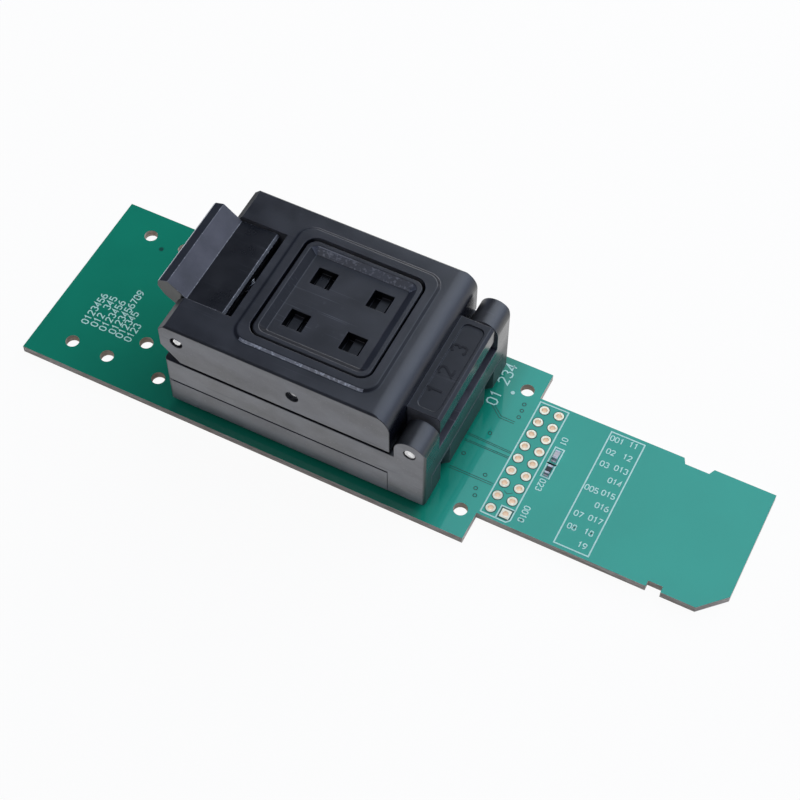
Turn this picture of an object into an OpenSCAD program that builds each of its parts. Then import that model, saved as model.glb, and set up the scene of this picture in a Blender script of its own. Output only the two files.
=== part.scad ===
// Clamshell test socket for a ball grid chip, mounted on a card-edge adapter board.
// The board lies on its underside at z = 0, the card tongue points along +X, and the
// origin is the middle of the board's length and width. Sizes are in millimetres.

/* [Board] */
// Length of the wide part of the board
board_l = 80.4; // [76:0.1:100]
// Width of the wide part of the board
board_w = 34.2; // [33:0.1:44]
// Thickness of the board
board_t = 1.4; // [1.2:0.1:2]
// Length of the card tongue
tongue_l = 40.45; // [36:0.05:50]
// Width of the card tongue
tongue_w = 24; // [22:0.1:28]
// Legs of the cut corner at the tongue's tip
tongue_cut = 4; // [2:0.1:5]
// Depth of the notches in the tongue's sides
notch_d = 1.05; // [0.5:0.05:1.5]
// Distance of the long notch from the tongue's tip
long_notch_in = 10.3; // [8:0.1:14]
// Length of the long notch
long_notch_l = 5.1; // [3:0.1:8]
// Distance of the short notch from the tongue's tip
short_notch_in = 9.7; // [7:0.1:14]
// Length of the short notch
short_notch_l = 2.4; // [1:0.1:5]

/* [Board holes] */
// Diameter of the drilled fixing and tooling holes
fixing_d = 2.3; // [1.8:0.1:2.6]
// Spacing of the hole rows across the board
fixing_span_y = 25; // [24:0.1:28]
// Distance of the left fixing holes from the left end
fixing_in_left = 6.7; // [4:0.1:9]
// Distance of the right fixing holes from the shoulder
fixing_in_right = 2.5; // [2:0.1:3.2]
// Distance of the first tooling holes from the left end
tooling_in_a = 13.4; // [12:0.1:15]
// Distance of the second tooling holes from the left end
tooling_in_b = 23.2; // [21:0.1:25]
// Distance of the inner tooling holes from the left end
tooling_in_c = 17.8; // [16:0.1:19]
// Spacing of the inner tooling holes across the board
tooling_span_c = 14.6; // [10:0.1:18]

/* [Header] */
// Distance between header holes
header_pitch = 2.54; // [2:0.01:2.6]
// Number of holes in a header row
header_n = 9; // [2:1:9]
// Distance of the first header row from the shoulder
header_in = 1.57; // [1:0.01:3]
// Diameter of the header pads
pad_d = 1.6; // [1.4:0.05:1.9]
// Bore of the plated header holes
pad_bore_d = 0.95; // [0.7:0.05:1]
// Wall of the plating in a header hole
plating_t = 0.12; // [0.08:0.01:0.18]
// Thickness of the copper pads and contacts
copper_t = 0.05; // [0.03:0.01:0.1]

/* [Card contacts] */
// Number of card contacts
contact_n = 9; // [4:1:9]
// Distance between card contacts
contact_pitch = 2.5; // [2:0.05:2.6]
// Width of a card contact
contact_w = 1.7; // [1:0.1:2]
// Length of a card contact
contact_l = 4.5; // [3:0.1:6]
// Distance of the contacts from the tongue's tip
contact_in = 1.6; // [0.8:0.1:3]
// Set-back of the contact beside the cut corner
contact_setback = 2; // [1:0.1:4]

/* [Parts on the board] */
// Length of the LED and of the resistor
chip_l = 1.6; // [1:0.1:2]
// Width of the LED and of the resistor
chip_w = 0.85; // [0.5:0.05:1.25]
// Height of the LED
led_h = 0.6; // [0.4:0.05:1]
// Height of the resistor
resistor_h = 0.45; // [0.3:0.05:0.7]
// Length of a soldered end cap
cap_l = 0.32; // [0.2:0.02:0.5]
// Distance of the LED and resistor from the shoulder
chip_in = 6.8; // [6:0.1:9]
// Distance of the LED from the board's middle line
led_y = 3.05; // [2.5:0.05:6]
// Distance of the resistor from the board's middle line
resistor_y = 0.1; // [-4:0.05:0.5]

/* [Socket base] */
// Distance of the socket's middle from the board's left end
socket_in = 50.4; // [49:0.1:52]
// Length of the base from the socket's middle to the latch end
base_front = 23; // [22.5:0.05:23.8]
// Length of the base from the socket's middle to the hinge end
base_back = 22.55; // [22.1:0.05:23.4]
// Width of the base
base_w = 30.5; // [29.5:0.1:32.5]
// Height of the base above the board
base_h = 11.75; // [11:0.05:14]
// Height of the lower block, up to the parting line
split_h = 6.4; // [6:0.05:7]
// Length of the full-height corner columns below the hinge ears
tower_l = 6.4; // [5.5:0.1:7]
// Width of the full-height corner columns below the hinge ears
tower_w = 2.45; // [1.8:0.05:3.5]
// Distance of the end bays from the middle line
bay_y = 6.3; // [4:0.1:7.5]
// Width of an end bay in the lower block
bay_w = 3.3; // [1.5:0.1:4]
// Depth of an end bay in the lower block
bay_d = 2; // [0.8:0.1:2.6]
// Height of an end bay above the board
bay_h = 5.9; // [3:0.1:5.9]
// Rounding of the upright corners
corner_r = 0.7; // [0.5:0.1:2]
// Chamfer round the foot
foot_cut = 1.2; // [0.5:0.1:1.5]
// Depth of the seam groove at the parting line
seam_d = 0.25; // [0.1:0.05:0.4]
// Height of the seam groove at the parting line
seam_h = 0.2; // [0.1:0.05:0.4]

/* [Hinge] */
// Height of the hinge axis above the top of the base
hinge_up = 2.25; // [2.2:0.05:3]
// Radius of the hinge ears
ear_r = 2.65; // [2.2:0.05:2.8]
// Length of a hinge ear along the hinge axis
ear_l = 4.95; // [3:0.05:6]
// Side gap between an ear and the knuckle
ear_gap = 0.8; // [0.3:0.05:1.5]
// Diameter of the hinge pin
hinge_pin_d = 2; // [1.2:0.1:2.2]
// Distance of the knuckle's back face from the hinge axis
knuckle_back = 2.3; // [1.9:0.05:2.5]
// Height of the knuckle's top above the hinge axis
knuckle_h = 3.3; // [2.5:0.05:3.5]
// Chamfer along the knuckle's back edge
knuckle_cut = 0.5; // [0.2:0.05:0.9]
// Depth of the clearance cut in the base below the knuckle
knuckle_relief = 0.8; // [0.8:0.05:1.5]
// Length of the sunk panel on the knuckle
panel_l = 3.6; // [2:0.1:4]
// Margin between the sunk panel and the knuckle's ends
panel_margin = 1; // [0.6:0.1:3]
// Depth of the sunk panel on the knuckle
panel_d = 0.25; // [0.1:0.05:0.5]

/* [Lid] */
// Gap between the closed lid and the base
lid_gap = 0.6; // [0.3:0.05:1]
// Height of the lid
lid_h = 8.35; // [8:0.05:9.5]
// Overhang of the lid past the base at the latch end
lid_over = 0.2; // [0:0.05:0.5]
// Distance of the lid's back face from the hinge axis
lid_back = 3.35; // [3.1:0.05:3.8]
// Rounding of the lid's top edge at the hinge end
lid_round = 3.2; // [1.5:0.1:3.6]
// Chamfer of the lid's top edge at the latch end
lid_top_cut = 1.2; // [0.5:0.1:2]
// Chamfer of the lid's bottom edge at the latch end
lid_low_cut = 3.2; // [1:0.1:3.4]
// Chamfer along the lid's top side edges
lid_edge_cut = 0.3; // [0.1:0.05:0.6]
// Length of the raised frame round the pusher
frame_l = 25; // [24:0.1:25.2]
// Width of the raised frame round the pusher
frame_w = 25; // [24:0.1:26]
// Height of the raised frame above the lid
frame_h = 0.3; // [0.1:0.05:0.6]
// Corner rounding of the raised frame
frame_r = 2.8; // [1.5:0.1:3.5]
// Slope width of the raised frame's walls
frame_slope = 0.6; // [0.2:0.05:0.8]

/* [Pusher] */
// Side of the square pusher
pusher_l = 20.3; // [19:0.1:20.5]
// Gap all round the pusher
pusher_gap = 0.35; // [0.25:0.05:0.5]
// Corner rounding of the pusher
pusher_r = 1.8; // [1:0.1:2.5]
// Depth of the pusher's rim below the raised frame
pusher_sink = 0.2; // [0:0.05:0.6]
// Width of the pusher's rim
rim_w = 0.8; // [0.6:0.1:1.2]
// Depth of the pusher's sunk field
field_d = 1; // [0.4:0.05:1.2]
// Slope width of the sunk field's walls
field_slope = 1.2; // [0.2:0.05:1.2]
// Corner rounding of the sunk field's mouth
field_r = 1.5; // [1.3:0.1:2.5]
// Distance between the windows along the board
window_pitch_x = 9.8; // [7:0.1:10]
// Distance between the windows across the board
window_pitch_y = 9; // [7:0.1:10]
// Side of a square window
window_l = 3.4; // [2.5:0.05:4]
// Depth of a window
window_d = 2; // [1.8:0.1:2.2]
// Width of the rib across a window
rib_w = 1.6; // [1:0.1:1.8]
// Depth of the rib's top below the sunk field
rib_down = 1.2; // [0.3:0.05:1.6]
// Outward shift of the ribs
rib_shift = 0.35; // [0:0.05:0.8]
// Height of the cross shaft above the lid's underside
shaft_up = 3.9; // [3.6:0.05:4.2]
// Diameter of the cross shaft
shaft_d = 1.5; // [1:0.1:2]

/* [Pressure pad] */
// Side of the pad's square plate
pad_plate_l = 16; // [13:0.1:18]
// Thickness of the pad's plate
pad_plate_t = 1.2; // [0.8:0.1:1.4]
// Length of the pad's nose along the board
nose_l = 10.4; // [8:0.1:11]
// Width of the pad's nose across the board
nose_w = 9.4; // [8:0.1:10]
// Diameter of the pegs that hold the pad
peg_d = 2; // [1.2:0.1:2.4]
// Height of the pegs that hold the pad
peg_h = 2.2; // [1:0.1:2.4]
// Distance between the pegs
peg_span = 12; // [8:0.1:13]

/* [Latch] */
// Width of the latch
latch_w = 17.4; // [14:0.1:19]
// Gap between the latch and the lid
latch_gap = 0.25; // [0.2:0.05:0.4]
// Distance of the latch pivot from the lid's end
pivot_in = 3.05; // [2.9:0.05:3.3]
// Height of the latch pivot above the lid's underside
pivot_up = 5.15; // [5:0.05:5.4]
// Diameter of the latch pin
latch_pin_d = 1.5; // [1:0.1:1.8]
// Radius of the latch's hub
hub_r = 2.3; // [1.8:0.05:2.4]
// Thickness of the hook arm
arm_t = 1.7; // [1.2:0.1:1.9]
// Reach of the hook under its ledge
hook_reach = 1.3; // [0.8:0.1:1.5]
// Height of the hook's toe
hook_h = 1.8; // [1.2:0.1:1.9]
// Height of the ledge on the base that the hook holds
ledge_h = 2.4; // [1.8:0.1:2.6]
// Reach of the thumb tab from the latch pivot
tab_reach = 6.85; // [6:0.05:8]
// Distance of the thumb tab's ridge from the latch pivot
tab_ridge = 4.85; // [4:0.05:5.4]
// Rise of the thumb tab's ridge above the latch pivot
tab_rise = 5.1; // [4.2:0.1:6]
// Fall of the thumb tab's lip from its ridge to its end
tab_fall = 0.6; // [0.2:0.1:1]
// Height of the thumb tab's end face
tab_end_h = 1.5; // [0.8:0.1:1.8]
// Lean of the thumb tab's end face
tab_lean = 0.2; // [0:0.05:0.5]
// Length of the rounded underside behind the thumb tab's end
tab_under_l = 2.7; // [1.8:0.1:3.2]
// Height of the rounded underside behind the thumb tab's end
tab_under_h = 2.8; // [2:0.1:3]
// Distance of the thumb tab's root from the latch pivot
tab_root = 1.75; // [1.2:0.05:1.9]
// Fall of the plate from its back edge to the thumb tab's root
plate_fall = 0.25; // [0.1:0.05:0.5]
// Depth of the hook arm's shoulder below the latch pivot
shoulder_down = 0.8; // [0.4:0.05:1.2]
// Distance of the hook arm from the lid's end
arm_in = 0.35; // [0.2:0.05:0.5]
// Depth of the latch pocket's floor below the latch pivot
pocket_down = 1.1; // [1:0.05:1.4]
// Length of the plate behind the latch pivot
plate_back = 5.05; // [4.8:0.05:5.4]
// Thickness of the plate behind the latch pivot
plate_t = 1.6; // [1:0.1:1.8]
// Depth of the plate below the lid's top
plate_down = 0.35; // [0.1:0.05:0.6]
// Chamfer along the plate's back edge
plate_cut = 0.35; // [0.1:0.05:0.6]
// Gap behind the plate for its swing
swing_gap = 1.3; // [0.9:0.05:1.6]

/* [Springs] */
// Outer diameter of the latch spring
latch_spring_d = 2.7; // [2:0.1:2.8]
// Wire of the latch spring
latch_spring_wire = 0.3; // [0.2:0.02:0.4]
// Distance of the latch spring from the latch pivot
latch_spring_back = 3.75; // [3.6:0.05:3.9]
// Material left below the latch spring
spring_floor = 1.25; // [0.8:0.05:1.8]
// Outer diameter of a guide spring
guide_spring_d = 1.9; // [1.4:0.1:2]
// Wire of a guide spring
guide_spring_wire = 0.25; // [0.18:0.01:0.3]
// Distance of a guide spring's axis from the edge of the guide's flange
guide_spring_in = 1.2; // [1.1:0.05:1.3]
// Depth of a guide spring's pocket
guide_pocket_d = 1.6; // [1:0.1:2]

/* [Chip guide and probes] */
// Length of the chip along the board
chip_body_l = 13; // [12.5:0.1:13.5]
// Width of the chip across the board
chip_body_w = 11.5; // [11:0.1:12.5]
// Thickness of the chip
chip_body_t = 1; // [0.8:0.1:1.2]
// Gap between the chip and its guide
chip_gap = 0.1; // [0.05:0.01:0.2]
// Side of the guide's square body
guide_l = 18.2; // [17.5:0.1:18.6]
// Side of the guide's square flange
guide_flange_l = 20.4; // [20.2:0.1:20.8]
// Thickness of the guide's flange
guide_flange_t = 1.9; // [1.2:0.1:2]
// Depth of the guide's top below the top of the base
guide_down = 0.35; // [0.2:0.05:0.8]
// Thickness of the lip that holds the guide
lip_t = 1.4; // [1:0.1:1.6]
// Gap round the guide
guide_gap = 0.25; // [0.2:0.05:0.4]
// Width of the guide's sloped lead-in
lead_in = 0.9; // [0.4:0.1:1.2]
// Distance between probes
probe_pitch = 0.8; // [0.7:0.05:0.9]
// Number of probe columns
probe_columns = 12; // [6:1:12]
// Number of probe rows
probe_rows = 10; // [6:1:10]
// Number of empty columns and rows in the middle of the field
probe_void = 4; // [0:1:6]
// Diameter of a probe's barrel
probe_d = 0.42; // [0.3:0.02:0.46]
// Diameter of a probe's tip
probe_tip_d = 0.26; // [0.2:0.02:0.3]
// Height of the probe tips above their carrier
probe_up = 0.35; // [0.2:0.05:0.5]
// Side of the square probe carrier
carrier_l = 15; // [14:0.1:15.4]
// Height of the carrier above the parting line
carrier_up = 0.4; // [0.1:0.05:0.6]
// Width of the carrier's foot flange
carrier_foot_w = 1; // [0.5:0.1:1.4]
// Height of the carrier's foot flange
carrier_foot_h = 1.2; // [0.8:0.1:2]

/* [Fasteners] */
// Diameter of the base screws
screw_d = 1.9; // [1.5:0.05:2]
// Diameter of a countersunk screw head
screw_head_d = 3.7; // [3:0.1:4]
// Distance of the screws from the ends of the base
screw_in = 8.35; // [7.8:0.05:8.8]
// Distance between the screws across the board
screw_span_y = 25.2; // [24.4:0.1:25.6]
// Depth of the screws in the upper housing
screw_grip = 3; // [2:0.1:3.6]
// Diameter of the locating dowels
dowel_d = 1.5; // [1:0.1:1.8]
// Distance between the two dowels across the board
dowel_span = 25.8; // [25:0.1:26.4]
// Depth of the dowels in the upper housing
dowel_grip = 1.6; // [1:0.1:3]

/* [Fits] */
// Radial clearance of a pin that turns or is turned on
run_fit = 0.05; // [0.03:0.01:0.08]
// Radial clearance of a piece that is pushed into its seat
push_fit = 0.02; // [0.01:0.005:0.04]
// Depth of the pin ends below the outer faces
pin_sink = 0.1; // [0.05:0.05:0.4]
// Radial width of the rings round the lid's pin ends
pin_ring = 0.3; // [0.1:0.05:0.4]
// Depth of the rings round the lid's pin ends
pin_ring_d = 0.6; // [0.3:0.1:1]

/* [Hidden] */
$fn = 48;
cut = 1;
probe_fn = 16;
coil_sides = 6;
coil_steps = 12;
latch_spring_turns = 6;
guide_spring_turns = 5;

// Board
board_x0 = -(board_l + tongue_l) / 2;
shoulder_x = board_x0 + board_l;
tip_x = shoulder_x + tongue_l;
fixing_x0 = board_x0 + fixing_in_left;
fixing_x1 = shoulder_x - fixing_in_right;
header_x = shoulder_x + header_in;
header_y0 = -(header_n - 1) / 2 * header_pitch;
eyelet_d = pad_bore_d + 2 * plating_t;
chip_x = shoulder_x + chip_in;
contact_y0 = -(contact_n - 1) / 2 * contact_pitch;

// Base
socket_x = board_x0 + socket_in;
base_l = base_front + base_back;
base_x0 = socket_x - base_front;
base_x1 = socket_x + base_back;
base_mid = (base_x0 + base_x1) / 2;
split_z = board_t + split_h;
base_z1 = board_t + base_h;
tower_x = base_x1 - tower_l;
tower_y = base_w / 2 - tower_w;
hinge_x = base_x1 - ear_r;
hinge_z = base_z1 + hinge_up;
knuckle_w = base_w - 2 * (ear_l + ear_gap);

// Lid
lid_x0 = base_x0 - lid_over;
lid_x1 = hinge_x - lid_back;
lid_z0 = base_z1 + lid_gap;
lid_z1 = lid_z0 + lid_h;
pivot_x = lid_x0 + pivot_in;
pivot_z = lid_z0 + pivot_up;
plate_top = lid_z1 - plate_down - pivot_z;
plate_low = plate_top - plate_t;
arm_x0 = lid_x0 + arm_in - pivot_x;
arm_x1 = arm_x0 + arm_t;
hook_top = base_z1 - ledge_h - latch_gap - pivot_z;
hook_low = hook_top - hook_h;
recess_x = pivot_x + arm_x1 + latch_gap;
undercut_x = pivot_x + arm_x1 + hook_reach + latch_gap;
slot_w = latch_w + 2 * latch_gap;
spring_z0 = lid_z0 + spring_floor;

// Pusher and pad
frame_z = lid_z1 + frame_h;
pusher_z1 = frame_z - pusher_sink;
pusher_hole_l = pusher_l + 2 * pusher_gap;
field_z = pusher_z1 - field_d;
shaft_z = lid_z0 + shaft_up;
pad_z0 = base_z1 + lid_gap;
pad_z1 = pad_z0 + pad_plate_t;

// Guide and probes
carrier_z1 = split_z + carrier_up;
probe_z1 = carrier_z1 + probe_up;
nose_z = probe_z1 + chip_body_t + chip_gap;
lip_z = base_z1 - lip_t;
flange_z1 = lip_z - guide_gap;
flange_z0 = flange_z1 - guide_flange_t;
guide_z1 = base_z1 - guide_down;
well_l = guide_flange_l + 2 * guide_gap;
lip_l = guide_l + 2 * guide_gap;
pocket_l = chip_body_l + 2 * chip_gap;
pocket_w = chip_body_w + 2 * chip_gap;
guide_spring_z0 = split_z - guide_pocket_d;
guide_spring_off = guide_flange_l / 2 - guide_spring_in;

plastic = "#3a3c44";
dark_plastic = "#2b2d33";
steel = "#cfd2d6";
gold = "#d8b45a";

// Rectangle with rounded corners, centred
module round_rect(l, w, r) {
    square([l - 2 * r, w], center = true);
    square([l, w - 2 * r], center = true);
    for (x = [-1, 1], y = [-1, 1])
        translate([x * (l / 2 - r), y * (w / 2 - r)]) circle(r = r);
}

// Upright block with rounded corners, centred on the socket's middle
module socket_block(l, w, r, z0, z1) {
    translate([socket_x, 0, z0])
        linear_extrude(z1 - z0) round_rect(l, w, r);
}

// Upright square block with sharp corners, centred on the socket's middle
module socket_box(l, w, z0, z1) {
    translate([socket_x - l / 2, -w / 2, z0]) cube([l, w, z1 - z0]);
}

// Upright block with the plan of the base
module base_block(z0, z1) {
    translate([base_mid, 0, z0])
        linear_extrude(z1 - z0) round_rect(base_l, base_w, corner_r);
}

// Bar of the given outline in x and z, extruded across the board
module cross_bar(w) {
    rotate([90, 0, 0]) linear_extrude(w, center = true) children();
}

// Outline of a block that runs straight up to z0 and then slopes in to z1
module taper_outline(half, slope, z0, z1) {
    start = z0 - sign(z1 - z0) * cut;
    polygon([
        [-half, start], [half, start], [half, z0],
        [half - slope, z1], [slope - half, z1], [-half, z0]
    ]);
}

// Block with four walls that slope in from z0 to z1, centred on the socket's middle
module tapered_box(l, w, slope, z0, z1) {
    translate([socket_x, 0, 0])
        intersection() {
            cross_bar(w) taper_outline(l / 2, slope, z0, z1);
            rotate([0, 0, 90]) cross_bar(l) taper_outline(w / 2, slope, z0, z1);
        }
}

// Block with rounded corners and walls that slope in from z0 to z1, centred on the socket's middle
module tapered_block(l, w, r, slope, z0, z1) {
    start = z0 - sign(z1 - z0) * cut;
    translate([socket_x, 0, 0]) {
        cross_bar(w - 2 * r) taper_outline(l / 2, slope, z0, z1);
        rotate([0, 0, 90]) cross_bar(l - 2 * r) taper_outline(w / 2, slope, z0, z1);
        for (x = [-1, 1], y = [-1, 1])
            translate([x * (l / 2 - r), y * (w / 2 - r), 0]) rotate_extrude()
                polygon([[0, start], [r, start], [r, z0], [r - slope, z1], [0, z1]]);
    }
}

// Rod along the y axis
module cross_rod(x, z, d, l) {
    translate([x, 0, z]) rotate([90, 0, 0]) cylinder(d = d, h = l, center = true);
}

// Wedge that chamfers a bottom edge, running along y at x = 0
module foot_wedge(l) {
    cross_bar(l) polygon([[-cut, -cut], [foot_cut, -cut], [foot_cut, 0], [0, foot_cut], [-cut, foot_cut]]);
}

// The wedges round the four bottom edges of the base
module foot_wedges() {
    for (side = [0, 1])
        translate([base_mid, 0, board_t]) mirror([side, 0, 0])
            translate([-base_l / 2, 0, 0]) foot_wedge(base_w + 2 * cut);
    for (turn = [90, -90])
        translate([base_mid, 0, board_t]) rotate([0, 0, turn])
            translate([-base_w / 2, 0, 0]) foot_wedge(base_l + 2 * cut);
}

// Copies at the four base screws
module at_screws() {
    for (x = [-1, 1], y = [-1, 1])
        translate([base_mid + x * (base_l / 2 - screw_in), y * screw_span_y / 2, 0]) children();
}

// Copies at the two dowels
module at_dowels() {
    for (y = [-1, 1]) translate([socket_x, y * dowel_span / 2, 0]) children();
}

// Copies at the four guide springs
module at_guide_springs() {
    for (x = [-1, 1], y = [-1, 1])
        translate([socket_x + x * guide_spring_off, y * guide_spring_off, 0]) children();
}

// Place of the latch spring's foot
module at_latch_spring() {
    translate([pivot_x + latch_spring_back, 0, spring_z0]) children();
}

// Copies at every probe: a grid with an empty middle
module at_probes() {
    middle_column = (probe_columns - 1) / 2;
    middle_row = (probe_rows - 1) / 2;
    for (column = [0 : probe_columns - 1], row = [0 : probe_rows - 1])
        if (abs(column - middle_column) > probe_void / 2 || abs(row - middle_row) > probe_void / 2)
            translate([
                socket_x + (column - middle_column) * probe_pitch,
                (row - middle_row) * probe_pitch,
                0
            ]) children();
}

// Copies at every header hole
module at_header() {
    for (row = [0, 1], i = [0 : header_n - 1])
        translate([header_x + row * header_pitch, header_y0 + i * header_pitch, 0])
            children();
}

// Copies at every card contact
module at_contacts() {
    for (i = [0 : contact_n - 1])
        translate([
            tip_x - contact_in - contact_l - (i == 0 ? contact_setback : 0),
            contact_y0 + i * contact_pitch - contact_w / 2,
            0
        ]) children();
}

// Coil spring of round wire standing on z = 0
module coil(d, wire, h, turns) {
    steps = turns * coil_steps;
    r = (d - wire) / 2;
    points = [
        for (i = [0 : steps], j = [0 : coil_sides - 1])
            let (a = 360 * i / coil_steps, b = 360 * j / coil_sides, reach = r + wire / 2 * cos(b))
            [reach * cos(a), reach * sin(a), wire / 2 + (h - wire) * i / steps + wire / 2 * sin(b)]
    ];
    walls = [
        for (i = [0 : steps - 1], j = [0 : coil_sides - 1])
            let (k = (j + 1) % coil_sides, low = i * coil_sides, high = low + coil_sides)
            [low + j, low + k, high + k, high + j]
    ];
    first_cap = [for (j = [coil_sides - 1 : -1 : 0]) j];
    last_cap = [for (j = [0 : coil_sides - 1]) steps * coil_sides + j];
    polyhedron(points = points, faces = concat([first_cap, last_cap], walls), convexity = 10);
}

// Outline of the board with its cut corner and two notches
module board_outline() {
    half = tongue_w / 2;
    slant = notch_d / 2;
    difference() {
        union() {
            translate([board_x0, -board_w / 2]) square([board_l, board_w]);
            translate([shoulder_x - cut, -half]) square([tongue_l + cut, tongue_w]);
        }
        polygon([
            [tip_x - tongue_cut, -half - cut], [tip_x - tongue_cut, -half],
            [tip_x, -half + tongue_cut], [tip_x + cut, -half + tongue_cut], [tip_x + cut, -half - cut]
        ]);
        translate([tip_x - long_notch_in, half])
            polygon([
                [0, cut], [0, 0], [-slant, -notch_d], [slant - long_notch_l, -notch_d],
                [-long_notch_l, 0], [-long_notch_l, cut]
            ]);
        translate([tip_x - short_notch_in - short_notch_l, -half - cut])
            square([short_notch_l, notch_d + cut]);
    }
}

// The printed circuit board with all its drilled holes
module board() {
    color("#1c7a5c")
    difference() {
        linear_extrude(board_t) board_outline();
        for (x = [fixing_x0, fixing_x1, board_x0 + tooling_in_a, board_x0 + tooling_in_b], y = [-1, 1])
            translate([x, y * fixing_span_y / 2, -cut]) cylinder(d = fixing_d, h = board_t + 2 * cut);
        for (y = [-1, 1])
            translate([board_x0 + tooling_in_c, y * tooling_span_c / 2, -cut])
                cylinder(d = fixing_d, h = board_t + 2 * cut);
        at_header() {
            translate([0, 0, -cut]) cylinder(d = eyelet_d + 2 * push_fit, h = board_t + 2 * cut);
            translate([0, 0, -cut]) cylinder(d = pad_d + 2 * push_fit, h = copper_t + cut);
        }
        at_contacts() translate([-push_fit, -push_fit, -cut])
            cube([contact_l + 2 * push_fit, contact_w + 2 * push_fit, copper_t + cut]);
        at_screws() screw_shape(push_fit, board_t + cut);
        at_dowels() translate([0, 0, -cut]) cylinder(d = dowel_d + 2 * push_fit, h = board_t + 2 * cut);
    }
}

// Plated tubes with a pad at each end, one of them square on top
module header_eyelets() {
    bore_r = pad_bore_d / 2;
    tube_r = eyelet_d / 2;
    pad_r = pad_d / 2;
    top = board_t + copper_t;
    color(gold) {
        at_header() rotate_extrude()
            polygon([
                [bore_r, 0], [pad_r, 0], [pad_r, copper_t], [tube_r, copper_t],
                [tube_r, board_t], [pad_r, board_t], [pad_r, top], [bore_r, top]
            ]);
        translate([header_x + header_pitch, header_y0, board_t])
            difference() {
                translate([-pad_r, -pad_r, 0]) cube([pad_d, pad_d, copper_t]);
                translate([0, 0, -cut]) cylinder(r = pad_r - plating_t, h = board_t + cut);
            }
    }
}

// Gold card contacts let into the underside of the tongue
module card_contacts() {
    color(gold) at_contacts() cube([contact_l, contact_w, copper_t]);
}

// Body of a small part on the board, between its two end caps
module chip_body(y, h) {
    translate([chip_x - chip_w / 2, y - chip_l / 2 + cap_l, board_t])
        cube([chip_w, chip_l - 2 * cap_l, h]);
}

// The two end caps of a small part on the board
module end_caps(y, h) {
    for (end = [y - chip_l / 2, y + chip_l / 2 - cap_l])
        translate([chip_x - chip_w / 2, end, board_t]) cube([chip_w, cap_l, h]);
}

// Indicator LED
module status_led() {
    color("#e8efe4") chip_body(led_y, led_h);
}

// Series resistor of the LED
module led_resistor() {
    color("#17181a") chip_body(resistor_y, resistor_h);
}

// Soldered end caps of the LED and the resistor
module chip_end_caps() {
    color("#c9ccd0") {
        end_caps(led_y, led_h);
        end_caps(resistor_y, resistor_h);
    }
}

// Outline of a hinge ear on its post, in x and z
module ear_outline() {
    translate([hinge_x, hinge_z]) circle(r = ear_r);
    translate([hinge_x - ear_r, base_z1 - cut]) square([2 * ear_r, hinge_up + cut]);
}

// Upper housing of the base: guide well, hook ledge, hinge end and hinge ears
module base_housing() {
    color(plastic)
    difference() {
        union() {
            base_block(split_z, base_z1);
            intersection() {
                base_block(board_t, hinge_z + ear_r);
                union() {
                    for (y = [-base_w / 2, tower_y])
                        translate([tower_x, y, board_t]) cube([tower_l, tower_w, base_h]);
                    for (y = [-1, 1])
                        translate([0, y * (base_w - ear_l) / 2, 0]) cross_bar(ear_l) ear_outline();
                }
            }
        }
        foot_wedges();
        socket_block(well_l, well_l, corner_r, split_z - cut, lip_z);
        socket_block(lip_l, lip_l, corner_r, lip_z - cut, base_z1 + cut);
        translate([base_x0 - cut, -slot_w / 2, split_z - cut])
            cube([recess_x - base_x0 + cut, slot_w, base_z1 - split_z + 2 * cut]);
        translate([base_x0 - cut, -slot_w / 2, split_z - cut])
            cube([undercut_x - base_x0 + cut, slot_w, base_z1 - ledge_h - split_z + cut]);
        translate([hinge_x - knuckle_back - ear_gap, ear_l - base_w / 2, base_z1 - knuckle_relief])
            cube([base_x1 - hinge_x + knuckle_back + ear_gap + cut, base_w - 2 * ear_l, lid_h]);
        cross_rod(hinge_x, hinge_z, hinge_pin_d + 2 * push_fit, base_w + 2 * cut);
        at_screws() translate([0, 0, split_z - cut])
            cylinder(d = screw_d + 2 * push_fit, h = screw_grip + push_fit + cut);
        at_dowels() translate([0, 0, split_z - cut])
            cylinder(d = dowel_d + 2 * push_fit, h = dowel_grip + push_fit + cut);
        parting_seam();
    }
}

// Groove that shows where the upper housing meets the lower block
module parting_seam() {
    translate([0, 0, split_z])
        linear_extrude(seam_h)
            difference() {
                union() {
                    translate([base_x0 - cut, -base_w / 2 - cut])
                        square([tower_x - base_x0 + cut, base_w + 2 * cut]);
                    translate([tower_x - cut, -tower_y]) square([tower_l + 2 * cut, 2 * tower_y]);
                }
                translate([base_mid, 0])
                    round_rect(base_l - 2 * seam_d, base_w - 2 * seam_d, corner_r - seam_d);
            }
}

// Lower block that carries the probe carrier and the guide springs
module probe_block() {
    foot_l = carrier_l + 2 * carrier_foot_w;
    foot_z1 = board_t + carrier_foot_h;
    color(dark_plastic)
    difference() {
        intersection() {
            base_block(board_t, split_z);
            union() {
                translate([base_x0 - cut, -base_w / 2, board_t])
                    cube([tower_x - push_fit - base_x0 + cut, base_w, split_h]);
                translate([base_x0 - cut, push_fit - tower_y, board_t])
                    cube([base_l + 2 * cut, 2 * (tower_y - push_fit), split_h]);
            }
        }
        foot_wedges();
        for (y = [-bay_y - bay_w, bay_y])
            translate([base_x1 - bay_d, y, board_t - cut]) cube([bay_d + cut, bay_w, bay_h + cut]);
        socket_box(carrier_l + 2 * push_fit, carrier_l + 2 * push_fit, board_t - cut, split_z + cut);
        socket_box(foot_l + 2 * push_fit, foot_l + 2 * push_fit, board_t - cut, foot_z1 + push_fit);
        at_screws() translate([0, 0, board_t - cut])
            cylinder(d = screw_d + 2 * push_fit, h = split_h + 2 * cut);
        at_dowels() translate([0, 0, board_t - cut])
            cylinder(d = dowel_d + 2 * push_fit, h = split_h + 2 * cut);
        at_guide_springs() translate([0, 0, guide_spring_z0])
            cylinder(d = guide_spring_d + 2 * guide_gap, h = guide_pocket_d + cut);
    }
}

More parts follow.
